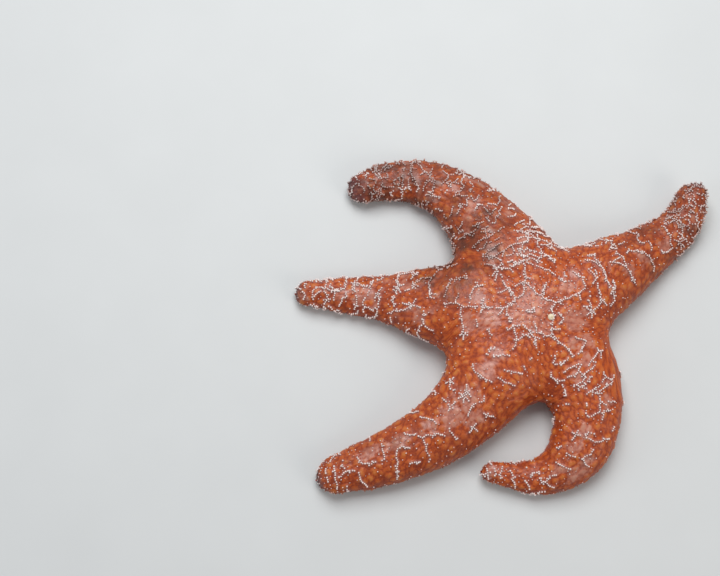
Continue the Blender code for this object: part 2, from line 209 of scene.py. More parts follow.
# Chains on the arms: how far along the arm each corner is, and how far left of its middle line, in mm.
ARM_CHAINS = {
    "lower_left": (
        ((66, 4), (63.5, 3.5), (61, 2.5), (59, 3), (55, 5), (52.5, 4)),
        ((62, -13), (62, -10)),
        ((70, -12), (70, -8), (70, -5)),
        ((78, 3), (78.5, 8), (78.5, 12)),
        ((88, -11), (86, -9), (83.5, -6), (82, -2)),
        ((101, -6.5), (98, -4.5), (95.5, -3), (92.5, 0), (89, 0.5), (87, 2), (85, 2), (83, 4), (82, 6.5)),
        ((93, 0.5), (93.5, 4), (94, 7), (95, 11), (96, 13)),
        ((105, 9), (102, 9.5), (99, 11)),
        ((112, 8), (110, 3), (108.5, -0.5), (105, -0.5), (101.5, 1.5)),
        ((112, 8), (114, 14)),
        ((115, -7), (116, -3), (116.5, 1), (120, 2), (124, 1.5), (127, 0.5), (130, -2), (131, -5)),
        ((132, 3), (132.5, 8), (129.5, 12)),
        ((144, 2.5), (141, 2), (138, 1), (134, 2.5)),
        ((139, -5), (139.5, 0)),
        ((140.5, 8), (141, 11)),
        ((144.5, -4), (145, 0), (145.5, 6), (146, 9)),
        ((149, -4), (149.5, 1), (150, 5)),
    ),
    "lower_right": (
        ((49, -8.5), (49, -5), (47, -1.5), (44, -1)),
        ((56, -3), (54, 1), (52, 6.5), (50, 8), (49, 10.5)),
        ((51, -13.5), (55, -13)),
        ((61, -14), (60.5, -11)),
        ((57.5, 5), (61, 5), (65.5, 4), (67, 2), (69, -0.5), (66.5, -3)),
        ((61, -2.5), (63.5, -2.5)),
        ((60, 9), (60, 14)),
        ((64, 11), (65, 6.5), (69, 7)),
        ((76.5, 1), (80, 0), (80, 3), (80, 6), (78, 10), (75.5, 13)),
        ((77, 2), (76.5, 4.5)),
        ((70, 14), (73, 14)),
        ((83.5, 7), (86, 7), (88, 5.5), (90, 5)),
        ((94, -4), (92.5, -0.5), (91.5, 2)),
        ((93, -8), (96, -8)),
        ((102, -3), (100, 0), (99, 2.5), (97, 5.5)),
        ((118, 0), (116, -1), (112.5, -1.5)),
        ((113, 1.5), (112, 5), (109.5, 4), (106.5, 2.5), (104, 3)),
        ((120, -4.5), (120, -2.5)),
        ((121, 2.5), (119, 5.5), (118, 7.5)),
        ((126, 8), (120, 9.5), (116, 9), (111, 9)),
        ((129, -2), (128, 1), (126.5, 4)),
        ((134, -3.5), (134, 1), (134, 4)),
        ((138, -2), (137, 2)),
    ),
    "upper_right": (
        (
            (47, 13), (50, 12), (50, 7.5), (50, 4), (48.5, -0.5), (48, -3.5), (47.5, -7), (47, -10.5),
            (45, -12.5),
        ),
        ((51, -6), (50, -9), (48, -10.5)),
        ((45, 6), (45, 3), (44, 0)),
        ((42, -3.5), (40, -9), (39, -13)),
        ((55, 3), (58, 1.5), (60, 0), (61.5, -4)),
        ((64, 9), (62.5, 6), (63.5, 2), (63, -1), (62, -6), (62, -10), (61.5, -14)),
        ((67, 3.5), (70, 3), (73.5, 1), (77, -2), (78, -5.5), (77.5, -10), (76, -13.5)),
        ((80, 11), (83, 9), (80, 8), (78, 4)),
        ((89, 6), (92, 5)),
        ((60, 10), (64, 11), (68, 10), (71.5, 8.5)),
        ((55, 15.5), (59, 15), (63, 14.5), (66.5, 13)),
        ((65, 13), (64, 11), (65, 9)),
        ((97, 6), (98, 4), (96.5, 2)),
        ((84, 3), (84, 0.5), (82, -3)),
        ((98, 3), (97, -1), (95, -4), (94, -7.5), (90.5, -8), (86, -6)),
        ((125, 6), (127, 4), (122, 1)),
    ),
    "upper_left": (((117, -10), (117.5, -4), (116, 1.5), (114, 5), (110.5, 6)),),
}
ARM_SPRAYS = {
    "lower_left": ((70, -5), (68, 11), (59, 12), (60, -4)),
    "lower_right": ((81, -5), (141, 1)),
    "upper_right": ((39, -13),),
}
CLOSE_SPINES = 0.00125  # from one spine of a drawn chain to the next

# Where the painted sheen lies on the disc: heading and reach of each patch's middle, and its radius in mm.
DISC_FILMS = (
    (165, 34, 5), (187, 27, 7), (188, 38, 6), (42, 24, 4.5), (48, 32, 3), (350, 22, 8), (330, 32, 5),
    (318, 27, 4), (315, 37, 4), (300, 42, 4), (227, 34, 5), (229, 44, 6), (98, 34, 4), (97, 43, 4),
    (129, 39.5, 3), (125, 45, 6),
)
# On the arms: how far along, how far left, and half its length and half its width, in mm.
ARM_FILMS = {
    "lower_left": (
        (60, -3, 8, 8), (66, 8, 6, 5), (72, -1, 9, 8), (87, -4, 6, 4.5), (107, -4, 9, 5), (124, -5, 7, 4),
    ),
    "lower_right": (
        (60, 9, 4, 4), (77, -1, 5, 4), (88, -2, 6, 4), (95, 10, 10, 5), (102, 2, 4, 3), (141, 0, 4, 4),
    ),
    "upper_right": ((64, -6, 4, 5), (75, -4, 4, 7), (91, -4, 4, 4)),
}

# ---------------------------------------------------------------- the spines
INNERMOST_CELL = 0.034  # how far along its arm
CELL_BAND = 1.5 * MM  # how near a row of cells the skin is looked at, to see how wide it is
CELL_JITTER = 0.26  # a share of a cell
WANDERS = ((0.0016, 0.0110), (0.0007, 0.0042))  # how far the net's lines wander, and over what size
SPINE_SPACING = 0.00118  # in chains of the net
SPINE_SIDES = 7
TREMBLE = 0.30 * MM  # of the drawn chains
DRAWN_KEPT = 0.95  # the share of their spines that are there
CHAIN_STRAY = 0.09 * MM  # how far a spine stands out of its chain's line
SPRAY_SHARE = 0.03  # of the net's spines, as hearts of sprays
SPRAY_GAP = 8 * MM
SPUR_SHARE = 0.03  # of the spines in chains, as starts of short lines sideways
BESIDE_SHARE = 0.75  # of the spines in chains, at most, that have another one beside them
BESIDE_RING_SHARE = 0.80  # the same round the ring
BESIDE_STEP = 0.95 * MM
BESIDE_GAP = 0.78 * MM  # the least from a spine beside a chain to the next one
SINGLE_DRAWS = 4300
SINGLE_GAP = 1.5 * MM
SINGLE_TO_CHAIN = 1.3 * MM
EDGE_SPACING = 1.6 * MM  # in the rows low on the walls
EDGE_KEPT = 0.75  # the share of the spines in them that are there
EDGE_STRAY = 0.55 * MM
SOLE_SPACING = 2.1 * MM
LIP_SPACING = 1.25 * MM
FURROW_SPINE_IN, FURROW_SPINE_DOWN = 0.90, 0.42  # how far those on the lip point towards the furrow
ROW_STAGGER = 0.004  # how far behind every second row starts, as a share of its length
TOP_RISE = 1.04  # the middle of a spine's top, against its height
SHORTEST = 0.2 * MM  # that a spine is cut to above the floor
LIFT_STEPS = 5  # in which a spine is turned up until it is clear of the floor
PEGGED_ARM = 0  # the number of the arm that has long spines on its outer side
PEGGED_LENGTH = 0.045  # of that arm, from its tip
PEGGED_SIDE = -4 * MM  # how far across the arm they start
PATCH = 0.003  # across, of one spine on its unwrap

# Kinds of spine: their widths and heights in mm, how pale they are, how far they lean in degrees, and their
# profile, a share of the width and of the height at each ring.
Kind = namedtuple("Kind", "widths heights pale lean profile")
BLUNT = ((0.38, -0.30), (0.40, 0.30), (0.50, 0.66), (0.36, 0.95))
SLIM = ((0.42, -0.30), (0.46, 0.30), (0.40, 0.80), (0.22, 0.97))
STOUT = ((0.42, -0.40), (0.42, 0.30), (0.40, 0.70), (0.27, 0.96))
BEAD = ((0.30, -0.6), (0.50, 0.0), (0.46, 0.5), (0.28, 0.88))
SUCKER = ((0.30, -0.05), (0.27, 0.62), (0.50, 0.84), (0.44, 1.0))
CHAIN_SPINE = Kind((0.80, 1.12), (0.90, 1.20), (0.80, 1.0), 6, BLUNT)
SINGLE_SPINE = Kind((0.50, 0.80), (0.55, 0.95), (0.35, 1.0), 8, BLUNT)
PEG = Kind((0.75, 0.95), (1.40, 1.90), (0.70, 1.0), 9, BLUNT)
EDGE_SPINE = Kind((0.50, 0.70), (0.60, 0.90), (0.20, 0.60), 8, BLUNT)
SOLE_SPINE = Kind((0.80, 1.10), (0.66, 0.80), (0.45, 0.8), 0, STOUT)
FURROW_SPINE = Kind((0.55, 0.70), (1.30, 1.70), (0.45, 0.8), 4, SLIM)
MOUTH_SPINE = Kind((0.80, 1.00), (2.20, 3.00), (0.45, 0.8), 5, SLIM)
EYESPOT = Kind((1.0, 1.1), (0.6, 0.7), (0.0, 0.1), 0, BEAD)
TUBE_FOOT = Kind((0.95, 1.10), (1.0, 1.0), (0.70, 0.9), 4, SUCKER)

# ---------------------------------------------------------------- the arms

# Headings, widths and cells are knots: a share of the arm's length, and the value there. A cell of the
# net of spines has a length along the arm and a width across it. kept is the share of its edges that
# carry spines, and arcs is how much fewer of the lengthwise ones do. As far as drawn along the arm the
# chains are drawn ones, and beyond it they follow the net. dark is how far from its end the arm turns plum,
# and the last is how brown it gets on the way there, partly its own tone and partly painted shade.
Arm = namedtuple(
    "Arm", "name length headings widths tip_lift tip_roll cell_lengths cell_widths kept arcs drawn dark deep"
)
ARMS = (
    Arm(
        name="upper_right", length=0.138,
        headings=((0.0, 31), (0.30, 32), (0.60, 34), (0.78, 42), (0.90, 68), (1.0, 86)),
        widths=((0.0, 0.042), (0.30, 0.048), (0.48, 0.041), (0.62, 0.032), (0.80, 0.025), (1.0, 0.0195)),
        tip_lift=0.010, tip_roll=-48,
        cell_lengths=((0.0, 8 * MM), (0.5, 8 * MM), (0.8, 4.5 * MM), (1.0, 3.5 * MM)),
        cell_widths=((0.0, 11 * MM), (0.5, 10 * MM), (0.8, 5.5 * MM), (1.0, 5 * MM)),
        kept=0.85, arcs=0.40, drawn=0.099, dark=0.006, deep=0.60,
    ),
    Arm(
        name="upper_left", length=0.155,
        headings=((0.0, 104), (0.26, 113), (0.42, 126), (0.58, 143), (0.75, 172), (0.88, 195), (1.0, 204)),
        widths=((0.0, 0.042), (0.26, 0.056), (0.42, 0.045), (0.56, 0.036), (0.80, 0.026), (1.0, 0.018)),
        tip_lift=0.003, tip_roll=0,
        cell_lengths=((0.0, 5 * MM), (0.5, 5.5 * MM), (0.75, 4.8 * MM), (1.0, 4.0 * MM)),
        cell_widths=((0.0, 9 * MM), (0.5, 9 * MM), (0.75, 7 * MM), (1.0, 6 * MM)),
        kept=0.85, arcs=0.70, drawn=0.052, dark=0.012, deep=0.75,
    ),
    Arm(
        name="left", length=0.136,
        headings=((0.0, 166), (0.40, 170), (1.0, 179)),
        widths=((0.0, 0.042), (0.32, 0.050), (0.46, 0.042), (0.62, 0.029), (0.80, 0.022), (1.0, 0.015)),
        tip_lift=0.002, tip_roll=0,
        cell_lengths=((0.0, 11 * MM), (0.5, 9 * MM), (0.8, 6 * MM), (1.0, 4 * MM)),
        cell_widths=((0.0, 12 * MM), (0.5, 9 * MM), (0.8, 7 * MM), (1.0, 5 * MM)),
        kept=0.80, arcs=0.30, drawn=0.052, dark=0.005, deep=0.20,
    ),
    Arm(
        name="lower_left", length=0.156,
        headings=((0.0, -124), (0.28, -127), (0.55, -148), (0.78, -161), (1.0, -166)),
        widths=((0.0, 0.042), (0.25, 0.052), (0.38, 0.045), (0.60, 0.037), (0.82, 0.029), (1.0, 0.019)),
        tip_lift=0.002, tip_roll=0,
        cell_lengths=((0.0, 12 * MM), (0.7, 13 * MM), (0.84, 6 * MM), (1.0, 4 * MM)),
        cell_widths=((0.0, 13 * MM), (0.7, 11 * MM), (0.84, 8 * MM), (1.0, 6 * MM)),
        kept=0.34, arcs=0.25, drawn=0.152, dark=0.004, deep=0.25,
    ),
    Arm(
        name="lower_right", length=0.145,
        headings=((0, -37), (0.14, -44), (0.34, -76), (0.52, -108), (0.7, -150), (0.84, -184), (1, -188)),
        widths=((0.0, 0.042), (0.28, 0.046), (0.46, 0.040), (0.60, 0.035), (0.74, 0.025), (1.0, 0.0105)),
        tip_lift=0.004, tip_roll=0,
        cell_lengths=((0.0, 6 * MM), (0.4, 7 * MM), (0.7, 8 * MM), (1.0, 3.5 * MM)),
        cell_widths=((0.0, 13 * MM), (0.4, 12 * MM), (0.7, 8 * MM), (1.0, 4 * MM)),
        kept=0.36, arcs=0.70, drawn=0.139, dark=0.0, deep=0.12,
    ),
)
LONGEST = max(arm.length for arm in ARMS)

# ---------------------------------------------------------------- the surface of the body

Line = namedtuple("Line", "arm s plan heading half height lift pitch roll")
CUBE_MIXERS = np.array([73856093, 19349663, 83492791])  # mix a cube's three numbers into one
CUBE_TURNS = (0.131, 0.237, 0.373)  # each takes one direction's shift out of the mixed number


def through(knots, places):
    """A smooth curve through knots of place and value: cubic pieces that share a slope at each knot."""
    at, value = np.array(knots, float).T
    slope = np.gradient(value, at)
    places = np.clip(places, at[0], at[-1])
    i = np.clip(np.searchsorted(at, places, side="right") - 1, 0, len(at) - 2)
    span = at[i + 1] - at[i]
    t = (places - at[i]) / span
    start = (1 + 2 * t) * (1 - t) ** 2 * value[i] + t * (1 - t) ** 2 * span * slope[i]
    end = t**2 * (3 - 2 * t) * value[i + 1] - t**2 * (1 - t) * span * slope[i + 1]
    return start + end


def eased(t):
    """From 0 to 1 with no slope at either end."""
    t = np.clip(t, 0.0, 1.0)
    return t * t * (3 - 2 * t)


def unit(ways):
    """The same directions with a length of 1."""
    return ways / np.maximum(np.linalg.norm(ways, axis=-1, keepdims=True), 1e-12)


def heading_way(heading):
    """The level direction of a heading in degrees, or of several, side by side."""
    turn = np.radians(heading)
    return np.array([np.cos(turn), np.sin(turn), np.zeros_like(turn)])


def line_of(arm):
    """Everything about an arm, sampled evenly along its middle line from under the disc's middle."""
    share = np.linspace(0.0, 1.0, LINE_STEPS + 1)
    s = share * arm.length
    heading = np.radians(through(arm.headings, share))
    middle = (heading[1:] + heading[:-1]) / 2
    steps = np.stack([np.cos(middle), np.sin(middle)], axis=1) * np.diff(s)[:, None]
    plan = np.vstack([np.zeros(2), np.cumsum(steps, axis=0)])
    half = through(arm.widths, share) / 2
    end = (s - (arm.length - half[-1])) / half[-1]
    half = half * np.sqrt(1 - np.clip(end, 0.0, END_KEPT) ** 2)
    lifted = eased((share - (1 - LIFTED_SHARE)) / LIFTED_SHARE)
    lift = arm.tip_lift * lifted
    pitch = np.arctan(np.gradient(lift, s))
    roll = np.radians(arm.tip_roll) * lifted
    return Line(arm, s, plan, heading, half, 2 * half * HEIGHT_TO_WIDTH, lift, pitch, roll)


def along(line, s):
    """The place on the middle line at s, and the directions along, leftwards and upwards there."""
    x, y, lift = (np.interp(s, line.s, column) for column in (*line.plan.T, line.lift))
    heading, pitch, roll = (np.interp(s, line.s, c) for c in (line.heading, line.pitch, line.roll))
    forward = np.stack(
        [np.cos(heading) * np.cos(pitch), np.sin(heading) * np.cos(pitch), np.sin(pitch)], axis=-1
    )
    level = np.stack([-np.sin(heading), np.cos(heading), np.zeros_like(heading)], axis=-1)
    upright = np.cross(forward, level)
    cosine, sine = np.cos(roll)[..., None], np.sin(roll)[..., None]
    left = level * cosine + upright * sine
    up = upright * cosine - level * sine
    return np.stack([x, y, lift], axis=-1), forward, left, up


def section(across, rise, half, height):
    """How far a point is outside an arm's section, at 0 on its outline: a dome on a narrower flat sole."""
    waist = WAIST * height
    below = waist / np.sqrt(1 - SOLE_TO_WIDTH**2)
    reach = np.where(rise > waist, height - waist, below)
    return (np.sqrt((across / half) ** 2 + ((rise - waist) / reach) ** 2) - 1) * half


def arm_field(line, points):
    """How far points are outside an arm, by the nearest place on its middle line."""
    x, y = points[..., 0], points[..., 1]
    i = np.argmin((x[..., None] - line.plan[:, 0]) ** 2 + (y[..., None] - line.plan[:, 1]) ** 2, axis=-1)
    onward = (x - line.plan[i, 0]) * np.cos(line.heading[i]) + (y - line.plan[i, 1]) * np.sin(line.heading[i])
    s = np.clip(line.s[i] + onward, 0, line.arm.length)
    across = np.hypot(*(here - np.interp(s, line.s, there) for here, there in zip((x, y), line.plan.T)))
    half, height = (np.interp(s, line.s, column) for column in (line.half, line.height))
    return section(across, points[..., 2], half, height)


def body_field(points, own=None):
    """The soft union of arms and disc, at 0 on the skin. own is one line and its field, already known."""
    fields = [section(np.hypot(points[..., 0], points[..., 1]), points[..., 2], DISC_RADIUS, DISC_HEIGHT)]
    for line in LINES:
        fields.append(own[1] if own and line is own[0] else arm_field(line, points))
    return SKIN_DEPTH - BLEND * np.log(sum(np.exp(-field / BLEND) for field in fields))


def leave(starts, ways, field):
    """Where rays that start inside a field first leave it: by steps, then by halving the last step."""
    inner, outer = np.zeros(starts.shape[:-1]), np.full(starts.shape[:-1], np.inf)
    for reach in np.arange(RAY_STEP, 2 * DISC_RADIUS, RAY_STEP):
        if np.isfinite(outer).all():
            break
        outside = (field(starts + reach * ways) > 0) & np.isinf(outer)
        outer = np.where(outside, reach, outer)
        inner = np.where(np.isinf(outer), reach, inner)
    for _ in range(ROOT_HALVINGS):
        reach = (inner + outer) / 2
        outside = field(starts + reach[..., None] * ways) > 0
        outer = np.where(outside, reach, outer)
        inner = np.where(outside, inner, reach)
    return starts + ((inner + outer) / 2)[..., None] * ways


def armpit(line, side):
    """The way from the disc's middle to the armpit on one side of an arm, and how far out that is."""
    turns = [side * (other.heading[0] - line.heading[0]) % (2 * np.pi) for other in LINES]
    heading = line.heading[0] + side * min(turn for turn in turns if turn > 1e-6) / 2
    way = np.array([np.cos(heading), np.sin(heading), 0.0])
    start = SOLE_DEPTH * UP
    return way, np.linalg.norm(leave(start, way, body_field) - start)


def armpit_place(line, side):
    """How far along an arm the armpit on one side of it is."""
    way, reach = PITS[line.arm.name, side]
    return line.s[np.argmin(np.linalg.norm(line.plan - (reach * way)[:2], axis=1))]


def first_cut(line):
    """How far along an arm its rows stand square to it."""
    return max(armpit_place(line, side) for side in SIDES) + FAN_LENGTH


def inner_rows(line, side, count, outer):
    """Places along an arm of rows inside the armpits, or from them to the first cut, at ridge and rim."""
    pit, middle = armpit_place(line, side), np.mean([armpit_place(line, each) for each in SIDES])
    cut = first_cut(line)
    ends = ((middle, cut), (pit, cut)) if outer else ((0.0, middle), (0.0, pit))
    return [np.linspace(*end, count + 1) for end in ends]


def half_shell(line, side, ridge, rim, v):
    """The top and one wall of an arm, at shares v of the way from its ridge to its foot.

    ridge and rim say how far along the arm each row is there. Out on the arm, rays leave the middle
    line square to it. Nearer the disc they turn, until at the armpit they leave the disc's edge along
    the line between the two arms, and inside that they rise.
    """
    way, reach = PITS[line.arm.name, side]
    pit, cut = armpit_place(line, side), first_cut(line)
    turned = (1 - eased((rim - pit) / (cut - pit)))[:, None, None]
    inward = np.clip(rim / pit, 0.0, 1.0)[:, None, None]
    over = np.minimum(v / RIM, 1.0)
    s = ridge[:, None] + (rim - ridge)[:, None] * over
    base, _, left, up = along(line, s)
    half, height = (np.interp(s, line.s, column) for column in (line.half, line.height))
    ledge = inward * (reach - INNER_LEDGE) * way
    waist = WAIST * (turned * DISC_HEIGHT + (1 - turned) * height[..., None])
    starts = base + turned * over[:, None] * (ledge - base) + waist * (1 - v[:, None] ** 2) * up
    starts = starts + np.minimum(SOLE_DEPTH, height[..., None] / 4) * v[:, None] ** 2 * up
    out = unit((1 - turned) * side * left + turned * way)
    tilt = (np.pi / 2) * v[:, None] * inward**2

    def field(points):
        local = points - base
        own = section((local * left).sum(-1), (local * up).sum(-1), half, height)
        return body_field(points, (line, np.where(s > cut, own, arm_field(line, points))))

    return leave(starts, np.sin(tilt) * out + np.cos(tilt) * up, field)


def furrow_half(half):
    """Half the furrow's width, by half the arm's."""
    return np.minimum(FURROW_HALF_WIDTH, FURROW_SHARE * half)


def half_sole(line, side, s, edge):
    """One side of the sole and furrow, from the sole's edge to the middle of the furrow."""
    base, _, left, up = along(line, s)
    half = np.interp(s, line.s, line.half)
    rise = np.minimum(SOLE_DEPTH, half / 3)[:, None] * up
    width = furrow_half(half)[:, None]
    depth = width * FURROW_DEPTH / FURROW_HALF_WIDTH
    lip = base + side * width * left + rise
    roof = base + side * width * FURROW_ROOF_SHARE * left + depth * up + rise
    share = np.linspace(0.0, 1.0, SOLE_COLUMNS)[None, :, None]
    sole = edge[:, None] * (1 - share) + lip[:, None] * share
    furrow = np.stack([(lip + roof) / 2, roof, base + depth * up + rise], axis=1)
    return np.concatenate([sole, furrow], axis=1)


def arm_rows(line):
    """Places of the rows from the first cut to the tip, closer together over the rounded end."""
    reach = line.arm.widths[-1][1] / 2
    end = line.arm.length - reach * (1 - np.sin(np.linspace(0.0, END_TURN, END_ROWS + 1)))
    start = first_cut(line)
    return np.concatenate([np.linspace(start, end[0], round((end[0] - start) / ROW_SPACING))[:-1], end])


def waves(points, size, seed, count=16):
    """A smooth random field, mostly from -1 to 1: plane waves of about one size that run every way."""
    random = np.random.default_rng(seed)
    ways = unit(random.normal(size=(count, 3))) * random.uniform(0.7, 1.4, (count, 1)) * 2 * np.pi / size
    return np.sin(points @ ways.T + random.uniform(0, 2 * np.pi, count)).sum(-1) / np.sqrt(count)


def patchy(points, size, seed, middle, swing):
    """From 0 to 1 in patches of about one size, round a middle level that they leave by a swing."""
    return eased(middle + swing * waves(points, size, seed))


def drift(points, size, seeds):
    """A smooth random shift of each point, with a field of its own for each direction."""
    return np.stack([waves(points, size, seed) for seed in seeds], axis=1)


def pebbles(points, size, seed):
    """From 0 in the valleys to 1 on the crowns of packed pebbles: one jittered centre to each cube of a
    lattice, and the gap between the distances to the nearest centre and to the next."""
    cube = np.floor(points / size).astype(np.int64)
    nearest = np.full((2, len(points)), np.inf)
    for offset in np.ndindex(3, 3, 3):
        corner = cube + np.array(offset) - 1
        mixed = corner @ CUBE_MIXERS + seed * 7919
        jitter = [np.sin(mixed * turn) * 43758.5453 % 1.0 for turn in CUBE_TURNS]
        jitter = np.stack(jitter, axis=-1)
        distance = np.linalg.norm(points - (corner + jitter) * size, axis=-1)
        nearest[1] = np.minimum(nearest[1], np.maximum(nearest[0], distance))
        nearest[0] = np.minimum(nearest[0], distance)
    return eased((nearest[1] - nearest[0]) / (0.62 * size))


# ---------------------------------------------------------------- meshes


def placed(name, data):
    """A new object in the scene."""
    made = bpy.data.objects.new(name, data)
    bpy.context.scene.collection.objects.link(made)
    return made


def make_piece(name, points, faces, made_of, values=None, patches=None):
    """Makes an object of points and of faces: arrays of corner numbers, each with its own count of corners.

    values are the marks that the materials read, one number to a point. patches is each point's place on
    an unwrap named OFBake.
    """
    mesh = bpy.data.meshes.new(name)
    corners = np.concatenate([part.ravel() for part in faces]).astype(np.int32)
    counts = np.concatenate([np.full(len(part), part.shape[1]) for part in faces])
    mesh.vertices.add(len(points))
    mesh.vertices.foreach_set("co", points.astype(np.float32).ravel())
    mesh.loops.add(len(corners))
    mesh.loops.foreach_set("vertex_index", corners)
    mesh.polygons.add(len(counts))
    mesh.polygons.foreach_set("loop_start", (np.cumsum(counts) - counts).astype(np.int32))
    mesh.update(calc_edges=True)
    for mark, numbers in (values or {}).items():
        mesh.attributes.new(mark, "FLOAT", "POINT").data.foreach_set("value", numbers.astype(np.float32))
    if patches is not None:
        mesh.uv_layers.new(name="OFBake").data.foreach_set("uv", patches[corners].astype(np.float32).ravel())
    mesh.shade_smooth()
    mesh.materials.append(made_of)
    made = placed(name, mesh)
    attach(made, "root")
    return made


def grid_faces(rows, columns, start=0, flip=False):
    """Corner numbers of the faces of a grid of points, kept row after row."""
    first = start + np.arange(rows - 1)[:, None] * columns + np.arange(columns - 1)
    faces = np.stack([first, first + 1, first + columns + 1, first + columns], axis=-1).reshape(-1, 4)
    return faces[:, ::-1] if flip else faces


def close_up(data, gap):
    """Joins the points of a mesh that lie nearer together than the gap, and turns its faces outwards."""
    mesh = bmesh.new()
    mesh.from_mesh(data)
    bmesh.ops.remove_doubles(mesh, verts=mesh.verts, dist=gap)
    bmesh.ops.recalc_face_normals(mesh, faces=mesh.faces)
    mesh.to_mesh(data)
    mesh.free()


# ---------------------------------------------------------------- the skin

Skin = namedtuple("Skin", "mesh points normals marks")
Half = namedtuple("Half", "line side points along across")


def row_lengths(points):
    """How far round from its first point each point of a row is, over the surface."""
    steps = np.linalg.norm(np.diff(points, axis=1), axis=2)
    return np.concatenate([np.zeros((len(points), 1)), np.cumsum(steps, axis=1)], axis=1)


def arm_half(line, side):
    """Half of an arm's rows, each from the ridge round to the middle of the furrow, from armpit to tip."""
    ridge, rim = inner_rows(line, side, FAN_ROWS, outer=True)
    out = arm_rows(line)[1:]
    ridge, rim = np.concatenate([ridge, out]), np.concatenate([rim, out])
    v = np.linspace(0.0, 1.0, COLUMNS + 1)
    shell = half_shell(line, side, ridge, rim, v)
    points = np.concatenate([shell[:, :-1], half_sole(line, side, ridge, shell[:, -1])], axis=1)
    tip, _, _, up = along(line, ridge[-1:])
    tip = tip + WAIST * np.interp(ridge[-1], line.s, line.height) * up
    points = np.concatenate([points, np.tile(tip[:, None], (1, points.shape[1], 1))])
    ridge, rim = np.append(ridge, line.arm.length), np.append(rim, line.arm.length)
    over = np.ones(points.shape[1])
    over[: COLUMNS + 1] = np.minimum(v / RIM, 1.0)
    along_arm = ridge[:, None] + (rim - ridge)[:, None] * over
    return Half(line, side, points, along_arm, side * row_lengths(points))


def disc_half(line, side):
    """Half of the rows of an arm's share of the disc's top, from the middle to the armpits."""
    ridge, rim = inner_rows(line, side, TOP_ROWS, outer=False)
    v = np.linspace(0.0, 1.0, COLUMNS + 1)[: round(RIM * COLUMNS) + 1]
    points = half_shell(line, side, ridge, rim, v)
    along_arm = ridge[:, None] + (rim - ridge)[:, None] * v / RIM
    return Half(line, side, points, along_arm, side * row_lengths(points))


def disc_sole_half(line, side):
    """Half of the rows of an arm's share of the disc's sole, with the wall and the roof of the mouth."""
    way, reach = PITS[line.arm.name, side]
    ridge = inner_rows(line, side, 1, outer=True)[0][0]
    share = np.linspace(0.0, 1.0, TOP_ROWS // 2 + 1)
    s = MOUTH_RADIUS + (ridge - MOUTH_RADIUS) * share
    rim = MOUTH_RADIUS + (reach - MOUTH_RADIUS) * share
    edge = rim[:, None] * way + SOLE_DEPTH * UP
    points = half_sole(line, side, s, edge)
    roof = points[0] * MOUTH_ROOF_SHARE
    roof[:, 2] = MOUTH_DEPTH + SOLE_DEPTH
    middle = np.tile((MOUTH_DEPTH + SOLE_DEPTH) * UP, (len(roof), 1))
    points = np.concatenate([np.stack([middle, roof]), points])
    along_arm = np.concatenate([[0.0, 0.5 * MOUTH_RADIUS], s])[:, None] * np.ones(points.shape[1])
    return Half(line, side, points, along_arm, side * (SOLE_ACROSS + row_lengths(points)))


def round_place(side, column):
    """A column's place round an arm: half at the ridge, and 0.01 and 0.99 in the middle of the furrow."""
    return 0.5 + side * 0.49 * column / (COLUMNS + SOLE_COLUMNS + 2)


def weld(name, halves, made_of):
    """Joins the halves into one closed mesh, with the marks that say where on the body each point is."""
    points, faces, marks = [], [], []
    start = 0
    for half in halves:
        rows, columns = half.points.shape[:2]
        points.append(half.points.reshape(-1, 3))
        faces.append(grid_faces(rows, columns, start, flip=half.side < 0))
        column = np.arange(columns) + (COLUMNS if half.across[0, 0] else 0)
        inward = 6 * np.linspace(1.0, 0.0, rows) * (half.across[0, 0] != 0)  # on the disc's sole only
        under = np.clip((column - COLUMNS) / 2.0 + inward[:, None], 0.0, 1.0).ravel()
        round_share = np.tile(round_place(half.side, column), rows)
        number = np.full(rows * columns, LINES.index(half.line))
        marks.append(np.stack([number, half.along.ravel(), half.across.ravel(), round_share, under]))
        start += rows * columns
    marks = np.concatenate(marks, axis=1)
    values = dict(zip(PLACE_MARKS, marks))
    made = make_piece(name, np.concatenate(points), faces, made_of, values)
    close_up(made.data, SEAM_GAP)
    return made


def read(mesh):
    """A mesh with its points, normals and marks as arrays."""
    count = len(mesh.vertices)
    points, normals = np.empty((2, count * 3), np.float32)
    mesh.vertices.foreach_get("co", points)
    mesh.vertices.foreach_get("normal", normals)
    marks = {mark: np.empty(count, np.float32) for mark in PLACE_MARKS}
    for mark, values in marks.items():
        mesh.attributes[mark].data.foreach_get("value", values)
    return Skin(mesh, points.reshape(-1, 3).astype(float), normals.reshape(-1, 3).astype(float), marks)


# ---------------------------------------------------------------- the net of cells


def seeds_of(number, line, marks, random):
    """The skin's points at the middles of an arm's cells, in rows across the arm, and the cells' sizes."""
    arm = line.arm
    mine = np.flatnonzero((marks["arm"] == number) & (marks["under"] < 0.5))
    on, aside = marks["along"][mine], marks["across"][mine]
    corners, sizes = [], []
    s = INNERMOST_CELL
    while s < arm.length - CELL_BAND:
        share = s / arm.length
        long, wide = through(arm.cell_lengths, share), through(arm.cell_widths, share)
        near = np.abs(on - s) < CELL_BAND
        for side in SIDES:
            reach = np.max(side * aside[near], initial=wide)
            count = max(1, round(reach / wide))
            t = (np.arange(count) + 0.5) * reach / count
            t = side * (t + random.uniform(-1, 1, count) * CELL_JITTER * wide)
            t_s = s + random.uniform(-1, 1, count) * CELL_JITTER * long
            for place in zip(t_s, t):
                corners.append(mine[np.argmin((on - place[0]) ** 2 + (aside - place[1]) ** 2)])
                sizes.append((long, wide))
        s += long
    return corners, sizes


